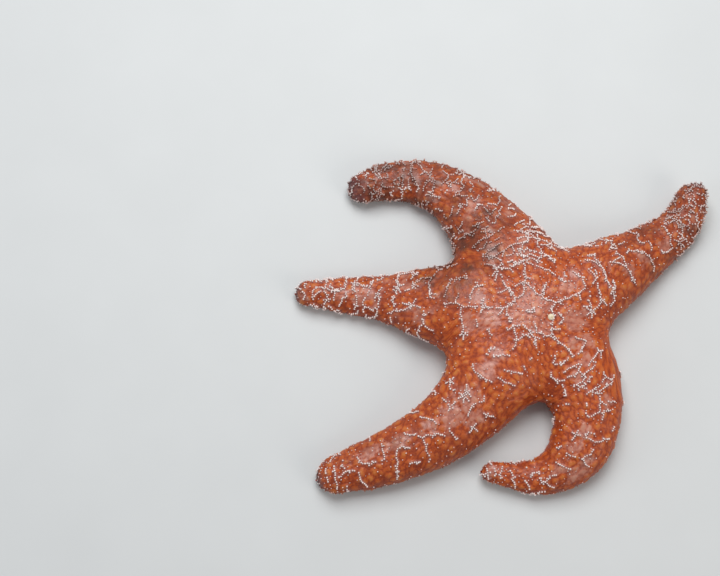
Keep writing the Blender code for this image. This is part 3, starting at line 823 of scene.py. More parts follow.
def nearest_cells(points, seeds, ways, sizes):
    """For each point the nearest seed, and how much farther away the next one is, in cells.

    Distance is counted in each seed's own measure: along its arm in cell lengths, across in cell widths.
    """
    cell = np.zeros(len(points), int)
    least, second = np.full((2, len(points)), np.inf)
    for i, (seed, way, size) in enumerate(zip(seeds, ways, sizes)):
        offset = points - seed
        onward = offset @ way
        aside = np.maximum((offset**2).sum(1) - onward**2, 0.0)
        distance = np.sqrt((onward / size[0]) ** 2 + aside / size[1] ** 2)
        nearer = distance < least
        second = np.where(nearer, least, np.minimum(second, distance))
        cell = np.where(nearer, i, cell)
        least = np.minimum(least, distance)
    return cell, second - least


def cells_of_net(skin, random):
    """The net: each point's cell, the margin to the next cell, and each cell's arm and way."""
    seeds, sizes, owners = [], [], []
    for number, line in enumerate(LINES):
        corners, cell_sizes = seeds_of(number, line, skin.marks, random)
        seeds += corners
        sizes += cell_sizes
        owners += [number] * len(corners)
    seeds, owners = np.array(seeds), np.array(owners)
    ways = np.zeros((len(seeds), 3))
    for number, line in enumerate(LINES):
        mine = owners == number
        ways[mine] = along(line, skin.marks["along"][seeds[mine]])[1]
    wander = sum(
        reach * drift(skin.points, size, range(10 * i, 10 * i + 3)) for i, (reach, size) in enumerate(WANDERS)
    )
    cells, margin = nearest_cells(skin.points + wander, skin.points[seeds], ways, sizes)
    return cells, margin, owners, ways


def crossings(skin, cells, margin, back):
    """Where the skin's own edges cross from one cell into another, and the pair of cells."""
    ends = np.empty(len(skin.mesh.edges) * 2, np.int32)
    skin.mesh.edges.foreach_get("vertices", ends)
    ends = ends.reshape(-1, 2)
    ends = ends[(cells[ends[:, 0]] != cells[ends[:, 1]]) & back[ends].all(1)]
    first, second = skin.points[ends[:, 0]], skin.points[ends[:, 1]]
    share = margin[ends[:, :1]] / np.maximum(margin[ends].sum(1, keepdims=True), 1e-9)
    return first + share * (second - first), np.sort(cells[ends], axis=1)


def strung(points, spacing, start=0.0, end=1.0):
    """Even places along a line of points, between two shares of its length."""
    reach = np.concatenate([[0.0], np.cumsum(np.linalg.norm(np.diff(points, axis=0), axis=1))])
    count = max(1, round(reach[-1] * (end - start) / spacing))
    at = reach[-1] * (start + (end - start) * (np.arange(count) + 0.5) / count)
    return np.stack([np.interp(at, reach, column) for column in points.T], axis=1)


def net_places(skin, cells, margin, back, keep, random):
    """Places in chains along the net: for each pair of cells that keeps its edge, even places on the line
    where the skin's own edges cross from one cell to the other, in order along its main direction."""
    place, pair = crossings(skin, cells, margin, back)
    order = np.lexsort((pair[:, 1], pair[:, 0]))
    breaks = np.flatnonzero(np.any(np.diff(pair[order], axis=0), axis=1)) + 1
    parts = []
    for group in np.split(order, breaks):
        if len(group) < 4:
            continue
        here = place[group]
        main = np.linalg.svd(here - here.mean(0), full_matrices=False)[2][0]
        if random.uniform() > keep(pair[group[0]], main):
            continue
        smooth = here[np.argsort(here @ main)]
        smooth[1:-1] = (smooth[:-2] + smooth[1:-1] + smooth[2:]) / 3
        ragged = random.uniform() < 0.5
        start, end = (random.uniform(0.0, 0.25), random.uniform(0.75, 1.0)) if ragged else (0.0, 1.0)
        parts.append(strung(smooth, SPINE_SPACING, start, end))
    return np.concatenate(parts)


# ---------------------------------------------------------------- places of spines on the back

Roots = namedtuple("Roots", "places corners")  # corners are the skin's points nearest to the roots


def nearest(points, others, chunk=2000):
    """For each point which of the others is nearest, and how far away it is."""
    which, gap = [], []
    others = others.astype(np.float32)
    squares = (others**2).sum(1)
    for i in range(0, len(points), chunk):
        part = points[i : i + chunk].astype(np.float32)
        spread = squares - 2 * part @ others.T
        which.append(np.argmin(spread, axis=1))
        gap.append(np.take_along_axis(spread, which[-1][:, None], 1)[:, 0] + (part**2).sum(1))
    return np.concatenate(which), np.sqrt(np.maximum(np.concatenate(gap), 0.0))


def spread_out(places, gap):
    """Those places that have no earlier one nearer than the gap."""
    squares = (places**2).sum(1)
    close = squares[:, None] + squares - 2 * places @ places.T < gap**2
    return places[~np.tril(close, -1).any(1)]


def some(roots, chosen):
    """Part of a set of roots."""
    return Roots(*(column[chosen] for column in roots))


def rooted(places, skin):
    """Roots at places near the skin, each moved on to the skin's plane at the nearest of its points."""
    corners = nearest(places, skin.points)[0]
    away = skin.normals[corners]
    rise = ((places - skin.points[corners]) * away).sum(1, keepdims=True)
    return Roots(places - rise * away, corners)


def lowered(plan, skin, lowest):
    """Places given from above, moved down on to the skin where its normal points up by more than lowest."""
    top = np.flatnonzero((skin.normals[:, 2] > lowest) & (skin.marks["under"] < UNDER_OF_BACK))
    corners = top[nearest(plan, skin.points[top, :2])[0]]
    slope = skin.normals[corners, :2] / skin.normals[corners, 2:]
    drop = ((plan - skin.points[corners, :2]) * slope).sum(1)
    return np.column_stack([plan, skin.points[corners, 2] - drop])


def over_disc(corners):
    """Places over the disc seen from above, from headings and reaches in mm from the ring's middle."""
    heading, reach = np.array(corners, float).T
    return RING_CENTRE[:2] + MM * reach[:, None] * heading_way(heading).T[:, :2]


def over_arm(line, corners):
    """Places over an arm seen from above, from how far along it and how far left of its middle, in mm."""
    s, left = MM * np.array(corners, float).T
    heading = np.interp(s, line.s, line.heading)
    middle = np.stack([np.interp(s, line.s, column) for column in line.plan.T], axis=1)
    return middle + left[:, None] * np.stack([-np.sin(heading), np.cos(heading)], axis=1)


def soft_line(knots, step=0.4 * MM):
    """A line through knots, halfway between a smooth curve and straight pieces."""
    gone = np.concatenate([[0.0], np.cumsum(np.linalg.norm(np.diff(knots, axis=0), axis=1))])
    places = np.arange(0.0, gone[-1], step)
    curve = [through(tuple(zip(gone, column)), places) for column in knots.T]
    bend = [np.interp(places, gone, column) for column in knots.T]
    return (np.stack(curve, axis=1) + np.stack(bend, axis=1)) / 2


def drawn(on_disc, on_arms):
    """The corners in lists for the disc and for the arms, as places seen from above."""
    parts = [over_disc(corners) for corners in on_disc]
    return parts + [over_arm(line, corners) for line in LINES for corners in on_arms.get(line.arm.name, ())]


def arcs(random):
    """Corners of the arcs where the upper left arm starts, each in two pieces with a gap between them."""
    first, last = ARC_HEADINGS
    corners = []
    for reach in ARC_REACHES:
        gap = random.uniform(first + ARC_END, last - ARC_END)
        for start, end in ((first, gap - ARC_GAP), (gap + ARC_GAP, last)):
            turns = np.linspace(start, end, 5)
            corners.append([(turn, reach + random.uniform(-ARC_STRAY, ARC_STRAY)) for turn in turns])
    return corners


def drawn_places(skin, random):
    """Places of the spines in the ring and in the drawn chains: even steps along soft lines that tremble a
    little, with a spine missing here and there."""
    parts = []
    for knots in drawn((RING + RING[:1], *DISC_CHAINS, *arcs(random)), ARM_CHAINS):
        line = soft_line(knots)
        tremble = TREMBLE * drift(np.column_stack([line, 0 * line[:, 0]]), 5 * MM, (31, 32))
        even = strung(lowered(line + tremble, skin, lowest=0.15), CLOSE_SPINES)
        parts.append(even[random.uniform(size=len(even)) < DRAWN_KEPT])
    return np.concatenate(parts)


def from_ring(points):
    """How far points are from the ring's middle, seen from above."""
    return np.linalg.norm((points - RING_CENTRE)[:, :2], axis=1)


def tangents(normals, turn):
    """Directions square to the normals, each turned about its normal by its own angle."""
    aside = unit(np.cross(normals, np.array([0.0, 1.0, 0.2])))
    return aside * np.cos(turn)[:, None] + np.cross(normals, aside) * np.sin(turn)[:, None]


def normals_at(places, skin):
    """The skin's normals at places near it."""
    return skin.normals[nearest(places, skin.points)[0]]


def second_row(places, skin, random):
    """Places beside the spines of a chain, in stretches, on either side of it; nearly all along the ring."""
    in_middle = eased((0.026 - from_ring(places)) / 0.008)
    stretches = patchy(places, 0.013, seed=33, middle=0.35, swing=0.9)
    share = np.maximum(BESIDE_SHARE * stretches, BESIDE_RING_SHARE * in_middle)
    ways = normals_at(places, skin)
    beside = places[random.uniform(size=len(places)) < share]
    turn = random.uniform(0, 2 * np.pi, len(beside))
    return beside + BESIDE_STEP * tangents(ways[nearest(beside, places)[0]], turn)


def sprays(hearts, skin, random):
    """Places of short lines of spines that leave a heart in several directions, like an asterisk."""
    parts = [hearts]
    for heart, normal in zip(hearts, normals_at(hearts, skin)):
        arms = random.integers(4, 7)
        turn = 2 * np.pi * (np.arange(arms) + random.uniform(-0.25, 0.25, arms)) / arms + random.uniform(0, 6)
        ways = tangents(np.tile(normal, (arms, 1)), turn)
        for way, count in zip(ways, random.integers(1, 4, arms)):
            parts.append(heart + way * SPINE_SPACING * (1 + np.arange(count))[:, None])
    return np.concatenate(parts)


def spurs(starts, skin, random):
    """Places of short curved lines of spines that leave a chain sideways."""
    parts = []
    for start, normal in zip(starts, normals_at(starts, skin)):
        count = random.integers(2, 6)
        turn = random.uniform(0, 2 * np.pi) + np.cumsum(random.uniform(-0.35, 0.35, count))
        parts.append(start + np.cumsum(tangents(np.tile(normal, (count, 1)), turn) * SPINE_SPACING, axis=0))
    return np.concatenate(parts)


def chain_places(skin, net, random):
    """Places of all the chains on the back, drawn and from the net, each spine a little out of line."""
    cells, margin, owners, ways = net
    back = skin.marks["under"] < UNDER_OF_BACK
    beyond = skin.marks["along"] > by_arm(skin, "drawn")
    upright, backward = skin.normals[:, 2], skin.normals[:, 1]
    walls = (upright < 0.40) & (backward > -0.2)
    far_side = (upright < 0.80) & (backward > 0.40)
    outer = back & (beyond | ((walls | far_side) & (skin.marks["along"] > INNERMOST_CELL)))

    def keep(pair, main):
        """How likely the edge between a pair of cells is to carry spines."""
        arm = ARMS[owners[pair[0]]]
        return arm.kept - arm.arcs * abs(main @ ways[pair[0]]) ** 2

    drawn_chains = drawn_places(skin, random)
    net_chains = net_places(skin, cells, margin, outer, keep, random)
    chains = np.concatenate([drawn_chains, net_chains])
    return chains + random.normal(scale=CHAIN_STRAY, size=chains.shape), net_chains


def back_roots(skin, random):
    """Each point's cell of the net, and the roots of the spines on the back: in chains, and single ones."""
    net = cells_of_net(skin, random)
    chains, net_chains = chain_places(skin, net, random)
    plan = np.concatenate(drawn([DISC_SPRAYS], {name: [hearts] for name, hearts in ARM_SPRAYS.items()}))
    hearts = spread_out(net_chains[random.uniform(size=len(net_chains)) < SPRAY_SHARE], SPRAY_GAP)
    offshoots = chains[random.choice(len(chains), round(SPUR_SHARE * len(chains)), replace=False)]
    extra = np.concatenate([
        sprays(np.concatenate([lowered(plan, skin, lowest=0.3), hearts]), skin, random),
        spurs(offshoots, skin, random),
        second_row(chains, skin, random),
    ])
    extra = spread_out(extra[nearest(extra, chains)[1] > BESIDE_GAP], BESIDE_GAP)
    chain = rooted(np.concatenate([chains, extra]), skin)
    standing = (skin.marks["under"] < UNDER_OF_BACK) & (skin.normals[:, 2] > LOWEST_NORMAL)
    chain = some(chain, standing[chain.corners])

    dorsal = np.flatnonzero(standing)
    lonely = random.choice(dorsal, SINGLE_DRAWS, replace=False, p=crowding(skin, dorsal))
    lonely = spread_out(skin.points[lonely], SINGLE_GAP)
    lonely = lonely[nearest(lonely, chain.places)[1] > SINGLE_TO_CHAIN]
    return net[0], chain, rooted(lonely, skin)


def by_arm(skin, what):
    """For each point of the skin a value of its own arm."""
    return np.array([getattr(arm, what) for arm in ARMS], float)[skin.marks["arm"].astype(int)]


def crowding(skin, dorsal):
    """How likely a single spine is at each point of the back, against the others."""
    marks = {name: mark[dorsal] for name, mark in skin.marks.items()}
    from_end = (by_arm(skin, "length") - skin.marks["along"])[dorsal]
    from_middle = from_ring(skin.points[dorsal])
    backward = (skin.points[dorsal] - RING_CENTRE)[:, 1]
    share = 0.12 + 1.0 * eased((0.022 - from_end) / 0.02)  # the tips
    share = share + 0.15 * eased((np.abs(marks["round"] - 0.5) - 0.25) / 0.1)  # the margins
    share = share + 0.55 * eased((0.015 - from_middle) / 0.004)  # inside the ring
    behind = eased((0.044 - from_middle) / 0.010) * eased((backward + 0.006) / 0.010)
    share = share + 0.35 * behind  # behind the ring
    pegged = (marks["arm"] == PEGGED_ARM) & (marks["across"] < PEGGED_SIDE)
    share = share + 1.2 * pegged * eased((PEGGED_LENGTH - from_end) / 0.02)
    return share / share.sum()


# ---------------------------------------------------------------- turned knobs


def knobs(roots, ways, widths, heights, profile, random):
    """Points of turned knobs: each ring of the profile is a share of the width out and of the height up a
    knob's way. The last two points of a knob are the middles of its foot and of its top."""
    count = len(roots)
    aside = unit(np.cross(ways, unit(random.normal(size=(count, 3)))))
    other = np.cross(ways, aside)
    profile = np.array(profile)
    turn = 2 * np.pi * np.arange(SPINE_SIDES) / SPINE_SIDES
    round_about = aside[:, None] * np.cos(turn)[:, None] + other[:, None] * np.sin(turn)[:, None]
    out = profile[:, 0, None, None] * widths[:, None, None, None] * round_about[:, None]
    rise = (profile[:, 1] * heights[:, None])[:, :, None, None] * ways[:, None, None]
    rings = (roots[:, None, None] + out + rise).reshape(count, -1, 3)
    foot = roots + profile[0, 1] * heights[:, None] * ways
    top = roots + TOP_RISE * heights[:, None] * ways
    return np.concatenate([rings, foot[:, None], top[:, None]], axis=1)


def knob_faces(count, rings):
    """Corner numbers of the knobs' faces: rings of four-cornered ones, and fans of three-cornered ones."""
    sides = SPINE_SIDES
    k = np.arange(sides)
    onward = (k + 1) % sides
    lower = sides * np.arange(rings)[:, None]
    wall = np.stack([lower + k, lower + onward, lower + sides + onward, lower + sides + k], -1)[:-1]
    ends = [
        np.stack([onward, k, np.full(sides, rings * sides)], 1),
        np.stack([lower[-1] + k, lower[-1] + onward, np.full(sides, rings * sides + 1)], 1),
    ]
    starts = (np.arange(count) * (rings * sides + 2))[:, None, None]
    parts = (wall.reshape(-1, 4), np.concatenate(ends))
    return [(faces + starts).reshape(-1, faces.shape[1]) for faces in parts]


def make_spines(name, roots, ways, widths, heights, profile, made_of, marks, random):
    """Many small knobs as one piece, with the skin's marks at their roots and the rise from foot to top."""
    points = knobs(roots, ways, widths, heights, profile, random)
    count, each = points.shape[:2]
    rings = len(profile)
    level = np.clip([height for _, height in profile], 0, 1)
    values = {key: np.repeat(numbers, each) for key, numbers in marks.items() if key != "round"}
    values["rise"] = np.tile(np.concatenate([np.repeat(level, SPINE_SIDES), [0.0, 1.0]]), count)
    turn = np.tile(2 * np.pi * np.arange(SPINE_SIDES) / SPINE_SIDES, rings)
    spread = np.repeat(1 - np.arange(rings) / rings, SPINE_SIDES)
    patch = np.stack([spread * np.cos(turn), spread * np.sin(turn)], axis=1)
    patch = PATCH / 2 * np.concatenate([patch, [[1.0, 0.0], [0.0, 0.0]]])
    places = np.stack([marks["along"] / LONGEST, marks["round"]], axis=1)
    patches = (places[:, None] + patch).reshape(-1, 2)
    faces = knob_faces(count, rings)
    return make_piece(name, points.reshape(-1, 3), faces, made_of, values, patches)


def flatness(ways):
    """How level directions are: 1 when they are, 0 when they point straight up or down."""
    return np.sqrt(np.clip(1 - ways[:, 2] ** 2, 0, None))


def clear_of_floor(feet, ways, widths, heights):
    """The ways and heights of spines, with those that would dip under the floor turned up and shortened."""
    for _ in range(LIFT_STEPS):
        lowest = feet[:, 2] + heights * ways[:, 2] - 0.5 * widths * flatness(ways)
        lift = np.clip(FLOOR_GAP - lowest, 0, None) / heights * (flatness(ways) > 0.2)
        ways = unit(ways + UP * lift[:, None])
    room = np.clip(feet[:, 2] - 0.5 * widths * flatness(ways) - FLOOR_GAP, 0, None)
    down = np.clip(-ways[:, 2], 1e-3, None)
    return ways, np.where(ways[:, 2] < 0, np.minimum(heights, np.maximum(room / down, SHORTEST)), heights)


def stand(name, kind, roots, skin, made_of, random, ways=None, lengths=None):
    """Stands spines of one kind on their roots, with the skin's marks carried over to them."""
    count = len(roots.places)
    values = {key: skin.marks[key][roots.corners] for key in MARKS + ("along", "round")}
    values["pale"] = random.uniform(*kind.pale, count)
    away = skin.normals[roots.corners]
    lean = random.normal(scale=np.radians(kind.lean), size=(count, 3))
    heights = random.uniform(*kind.heights, count) * (MM if lengths is None else lengths)
    feet = roots.places + skin.marks["relief"][roots.corners][:, None] * away
    widths = MM * random.uniform(*kind.widths, count)
    ways = unit((away if ways is None else ways) + lean)
    ways, heights = clear_of_floor(feet, ways, widths, heights)
    return make_spines(name, feet + DISC_CENTRE, ways, widths, heights, kind.profile, made_of, values, random)


# ---------------------------------------------------------------- finishes

GILL_SIZE = 0.75 * MM
SKIN_BUMP = 0.22 * MM
SPINE_BUMP = 0.08 * MM
ORANGE = (0.50, 0.085, 0.011)
# lighter on the cobbles' crowns: partly their own tone, partly a painted highlight
AMBER = (0.62, 0.195, 0.040)
# darker between the cobbles: partly their own tone, partly painted shade
RUST = (0.27, 0.032, 0.006)
# pale: a painted sheen, the sky's reflection on the wet skin
FILM = (0.50, 0.240, 0.185)
LILAC = (0.48, 0.240, 0.210)
# brown and dark: partly the upper arms' own tone, partly painted shade
BROWN = (0.13, 0.030, 0.013)
PLUM = (0.13, 0.045, 0.045)
SOLE = (0.66, 0.330, 0.120)
SOLE_DEEP = (0.52, 0.190, 0.055)
CREAM = (0.90, 0.790, 0.750)
# Mottled finishes: two colours, the size of the mottling, the roughness, the depth of the bump and the coat.
PLAIN_FINISHES = {
    "tube feet": ((0.80, 0.55, 0.30), (0.88, 0.70, 0.46), 0.0012, 0.3, 0.0001, 0.5),
    "sieve plate": ((0.76, 0.60, 0.36), (0.90, 0.82, 0.66), 0.0007, 0.45, 0.0001, 0.3),
    "mouth skin": ((0.72, 0.36, 0.16), (0.82, 0.55, 0.32), 0.0015, 0.35, 0.0002, 0.5),
    # near black: painted shade for the dark inside of the mouth's opening
    "throat": ((0.10, 0.03, 0.02), (0.16, 0.05, 0.03), 0.001, 0.5, 0.0001, 0.3),
    "eyespot": ((0.22, 0.012, 0.010), (0.32, 0.025, 0.018), 0.0004, 0.25, 0.00005, 0.8),
}


class Nodes:
    """A node tree with short ways to add and join nodes."""

    def __init__(self, tree):
        self.tree = tree

    def add(self, kind, settings=None, **inputs):
        """A new node, with its settings and with its inputs joined or set, by the inputs' names."""
        node = self.tree.nodes.new(kind)
        for name, value in (settings or {}).items():
            setattr(node, name, value)
        for name, value in inputs.items():
            self.put(node.inputs[name.replace("_", " ")], value)
        return node

    def put(self, socket, value):
        """Joins a socket to another, or sets it to a number or a colour."""
        if isinstance(value, bpy.types.NodeSocket):
            self.tree.links.new(value, socket)
        else:
            socket.default_value = (*value, 1.0) if isinstance(value, tuple) else value

    def math(self, operation, first, second):
        """Two values put together in one way."""
        node = self.add("ShaderNodeMath", {"operation": operation})
        self.put(node.inputs[0], first)
        self.put(node.inputs[1], second)
        return node.outputs[0]

    def times(self, first, second):
        """The product of two values."""
        return self.math("MULTIPLY", first, second)

    def shaken(self, value, noise, reach):
        """A value that a noise moves up and down."""
        return self.math("ADD", value, self.times(self.math("SUBTRACT", noise, 0.5), reach))

    def ramp(self, value, low, high, to_low=0.0, to_high=1.0):
        """A smooth rise from to_low to to_high while the value goes from low to high."""
        limits = {"From_Min": low, "From_Max": high, "To_Min": to_low, "To_Max": to_high}
        node = self.add("ShaderNodeMapRange", {"interpolation_type": "SMOOTHSTEP"}, Value=value, **limits)
        return node.outputs["Result"]

    def mix(self, share, first, second):
        """A colour between two others."""
        node = self.add("ShaderNodeMix", {"data_type": "RGBA"})
        for number, value in ((0, share), (6, first), (7, second)):
            self.put(node.inputs[number], value)
        return node.outputs[2]

    def noise(self, place, size, detail=2.0, roughness=0.5):
        """A cloudy value, with clouds of a size in metres."""
        look = {"Scale": 1 / size, "Detail": detail, "Roughness": roughness}
        return self.add("ShaderNodeTexNoise", Vector=place, **look).outputs["Fac"]

    def mark(self, name):
        """A mark that the mesh carries."""
        return self.add("ShaderNodeAttribute", {"attribute_name": name}).outputs["Fac"]


def new_group(name, inputs, outputs):
    """An empty node group with named sockets, and its nodes."""
    group = bpy.data.node_groups.new(name, "ShaderNodeTree")
    for way, sockets in (("INPUT", inputs), ("OUTPUT", outputs)):
        for socket, kind in sockets:
            group.interface.new_socket(socket, in_out=way, socket_type="NodeSocket" + kind)
    nodes = Nodes(group)
    return group, nodes, nodes.add("NodeGroupInput").outputs, nodes.add("NodeGroupOutput").inputs


def star_colour():
    """The sea star's colours: orange, lighter on the cobbles' crowns and darker between them, partly their
    own tone and partly painted highlight and shade, a pale painted sheen where the wet skin reflects the sky,
    greyer near the spines, browner towards the upper arms, partly their own tone and partly painted shade,
    and plum at the tips."""
    inputs = [("Place", "Vector")] + [(mark.capitalize(), "Float") for mark in MARKS]
    group, nodes, given, out = new_group("star colour", inputs, [("Colour", "Color")])
    place = given["Place"]
    broad = nodes.noise(place, 0.016, 3.0)
    fine = nodes.noise(place, 0.0012, 3.0, 0.6)
    crown = nodes.shaken(given["Cobble"], fine, 0.45)
    # Darker between the cobbles and lighter on their crowns: partly their own tone, partly painted shade in
    # the valleys and a painted highlight on the crowns.
    colour = nodes.mix(nodes.ramp(crown, -0.05, 0.38), RUST, ORANGE)
    amber = nodes.times(nodes.ramp(crown, 0.25, 1.05), nodes.ramp(broad, 0.32, 0.60, 0.35, 1.0))
    colour = nodes.mix(amber, colour, AMBER)
    grey = nodes.times(nodes.ramp(given["Near"], 0.15, 0.9), nodes.ramp(fine, 0.3, 0.7, 0.25, 0.70))
    grey = nodes.times(grey, nodes.ramp(given["Brown"], 0.1, 0.7, 1.0, 0.3))
    colour = nodes.mix(grey, colour, LILAC)
    # A pale painted sheen, the sky's reflection on the wet skin, mixed in where the sheen lies.
    film = nodes.times(given["Film"], nodes.ramp(crown, 0.0, 0.8, 0.66, 1.06))
    film = nodes.ramp(nodes.shaken(film, fine, 0.6), 0.05, 1.00, 0.0, 0.80)
    colour = nodes.mix(film, colour, FILM)
    # Browner towards the upper arms: partly their own tone, partly painted shade.
    brown = nodes.ramp(nodes.noise(place, 0.005, 3.0), 0.3, 0.65, 0.35, 1.0)
    colour = nodes.mix(nodes.times(given["Brown"], brown), colour, BROWN)
    sole = nodes.mix(nodes.ramp(nodes.noise(place, 0.006, 4.0), 0.35, 0.65), SOLE_DEEP, SOLE)
    colour = nodes.mix(given["Under"], colour, sole)
    tip = nodes.ramp(nodes.noise(place, 0.004, 3.0), 0.25, 0.6, 0.45, 1.0)
    nodes.put(out["Colour"], nodes.mix(nodes.times(given["Tip"], tip), colour, PLUM))
    return group


def fine_skin():
    """The height of the skin's own grain: soft wrinkles, and the tiny gills between the spines."""
    inputs = [("Place", "Vector"), ("Film", "Float")]
    group, nodes, given, out = new_group("fine skin", inputs, [("Height", "Float")])
    place = given["Place"]
    gill = nodes.add("ShaderNodeTexVoronoi", Vector=place, Scale=1 / GILL_SIZE).outputs["Distance"]
    fewer = nodes.ramp(given["Film"], 0.1, 0.7, 0.55, 0.12)
    gills = nodes.times(nodes.ramp(gill, 0.15, 0.55, 1.0, 0.0), fewer)
    nodes.put(out["Height"], nodes.math("ADD", nodes.noise(place, 0.0018, 4.0, 0.6), gills))
    return group


def new_material(name, **constants):
    """A material with plain values set on its shader, its nodes, the shader and the place on the object."""
    made = bpy.data.materials.new(name)
    made.use_nodes = True
    nodes = Nodes(made.node_tree)
    shader = made.node_tree.nodes["Principled BSDF"]
    for socket, value in constants.items():
        shader.inputs[socket.replace("_", " ")].default_value = value
    return made, nodes, shader, nodes.add("ShaderNodeTexCoord").outputs["Object"]


def own_colour(nodes, group, place):
    """The star's colour at a point, and the marks on the mesh that it comes from."""
    node = nodes.add("ShaderNodeGroup", {"node_tree": group}, Place=place)
    marks = {mark: nodes.mark(mark) for mark in MARKS}
    for mark, value in marks.items():
        nodes.put(node.inputs[mark.capitalize()], value)
    return node.outputs["Colour"], marks


def bump(nodes, shader, height, distance):
    """Makes the shader's surface look uneven, by a height over a distance."""
    node = nodes.add("ShaderNodeBump", Height=height, Distance=distance, Strength=1.0)
    nodes.put(shader.inputs["Normal"], node.outputs["Normal"])


def skin_material(colour_group, grain_group):
    """Wet skin: the star's colours, glossier where the sheen lies, which the colour also shows as a pale
    painted reflection.
    """
    made, nodes, shader, place = new_material("wet skin", Coat_Roughness=0.2, Specular_IOR_Level=0.32)
    colour, marks = own_colour(nodes, colour_group, place)
    nodes.put(shader.inputs["Base Color"], colour)
    grain = nodes.add("ShaderNodeGroup", {"node_tree": grain_group}, Place=place, Film=marks["film"])
    bump(nodes, shader, grain.outputs["Height"], SKIN_BUMP)
    rough = nodes.ramp(nodes.noise(place, 0.003), 0.3, 0.7, 0.36, 0.52)
    rough = nodes.math("SUBTRACT", rough, nodes.times(marks["film"], 0.10))
    nodes.put(shader.inputs["Roughness"], rough)
    nodes.put(shader.inputs["Coat Weight"], nodes.ramp(marks["film"], 0.0, 1.0, 0.12, 0.32))
    return made


def spine_material(colour_group):
    """Chalky spines: the skin's colour at the foot, cream at the top."""
    made, nodes, shader, place = new_material("spines", Roughness=0.45, Specular_IOR_Level=0.4)
    colour, marks = own_colour(nodes, colour_group, place)
    rise = nodes.shaken(nodes.mark("rise"), nodes.noise(place, 0.0006, 3.0), 0.35)
    top = nodes.times(nodes.ramp(rise, 0.12, 0.60), nodes.mark("pale"))
    # Spine tops less pale where the skin is browner: partly their own tone, partly painted shade.
    top = nodes.times(top, nodes.ramp(marks["brown"], 0.15, 0.9, 1.0, 0.45))
    nodes.put(shader.inputs["Base Color"], nodes.mix(top, colour, CREAM))
    bump(nodes, shader, nodes.noise(place, 0.35 * MM, 3.0), SPINE_BUMP)
    return made


def plain_material(name, low, high, size, roughness, bump_depth, coat):
    """A mottled finish between two colours, with a bump of the same grain."""
    gloss = {"Roughness": roughness, "Coat_Weight": coat, "Coat_Roughness": 0.15}
    made, nodes, shader, place = new_material(name, **gloss)
    grain = nodes.noise(place, size, 4.0, 0.6)
    nodes.put(shader.inputs["Base Color"], nodes.mix(nodes.ramp(grain, 0.3, 0.7), low, high))
    bump(nodes, shader, grain, bump_depth)
    return made


# ---------------------------------------------------------------- the stage

CAMERA_AIM = (-0.0821, 0.0222, 0.0)
CAMERA_ELEVATION = 74.0  # degrees above the floor
CAMERA_DISTANCE = 0.8187
CAMERA_LENS = 70.0  # mm
FLOOR_HALF = 8.0
FLOOR_TONES = ((0.60, 0.60, 0.59), (0.64, 0.64, 0.63))
SKY = (0.86, 0.90, 0.95)
SKY_STRENGTH = 0.30
LIGHTS = (  # name, place, size, power and colour
    ("overhead", (-0.05, 0.45, 0.85), 0.7, 9.0, (0.95, 0.98, 1.0)),
    ("side", (0.8, -0.5, 0.6), 0.5, 2.6, (1.0, 0.96, 0.9)),
    ("low", (-0.9, -0.2, 0.45), 0.5, 1.6, (0.92, 0.96, 1.0)),
)


def turned_to(way):
    """The turn of a light or a camera that looks along a way."""
    return Vector(way).to_track_quat("-Z", "Y").to_euler()


def set_stage():
    """A pale floor, soft square lights that face the middle, and the camera."""
    made, nodes, shader, place = new_material("floor", Roughness=0.85)
    nodes.put(shader.inputs["Base Color"], nodes.mix(nodes.noise(place, 0.05, 3.0), *FLOOR_TONES))
    mesh = bpy.data.meshes.new("floor")
    corners = [(x * FLOOR_HALF, y * FLOOR_HALF, 0) for x, y in ((-1, -1), (1, -1), (1, 1), (-1, 1))]
    mesh.from_pydata(corners, [], [(0, 1, 2, 3)])
    mesh.materials.append(made)
    placed("floor", mesh)

    scene = bpy.context.scene
    scene.world = bpy.data.worlds.new("studio")
    scene.world.use_nodes = True
    sky = scene.world.node_tree.nodes["Background"].inputs
    sky["Color"].default_value = (*SKY, 1.0)
    sky["Strength"].default_value = SKY_STRENGTH
    for name, spot, size, power, colour in LIGHTS:
        data = bpy.data.lights.new(name, "AREA")
        data.size, data.energy, data.color = size, power, colour
        light = placed(name, data)
        light.location = spot
        light.rotation_euler = turned_to(-Vector(spot))
    scene.view_settings.view_transform = "Standard"

    data = bpy.data.cameras.new("camera")
    data.lens, data.sensor_width = CAMERA_LENS, 36.0
    data.clip_start, data.clip_end = 0.01, 20.0
    scene.camera = placed("camera", data)
    rise = np.radians(CAMERA_ELEVATION)
    back = Vector((0.0, -np.cos(rise), np.sin(rise)))
    scene.camera.location = Vector(CAMERA_AIM) + CAMERA_DISTANCE * back
    scene.camera.rotation_euler = turned_to(-back)


# ---------------------------------------------------------------- marks and relief of the skin


def film_patch(gap, ragged):
    """How strong the painted sheen of a drawn patch is, by the gap from its middle and with a ragged edge."""
    return FILM_THICKNESS * eased(1.5 * (1.30 - gap / ragged))


def drawn_film(skin, film):
    """The painted sheen with the drawn patches added."""
    points, marks = skin.points, skin.marks
    ragged = 1 + 0.28 * waves(points, 0.007, seed=12) + 0.16 * waves(points, 0.0022, seed=13)
    for heading, reach, radius in DISC_FILMS:
        gap = np.hypot(*(points[:, :2] - over_disc([(heading, reach)])).T) / (radius * MM)
        film = np.maximum(film, film_patch(gap, ragged))
    for number, line in enumerate(LINES):
        for place, left, half_length, half_width in ARM_FILMS.get(line.arm.name, ()):
            past = (marks["along"] / MM - place) / half_length
            aside = (marks["across"] / MM - left) / half_width
            oval = film_patch(np.hypot(past, aside), ragged)
            film = np.where(marks["arm"] == number, np.maximum(film, oval), film)
    return film


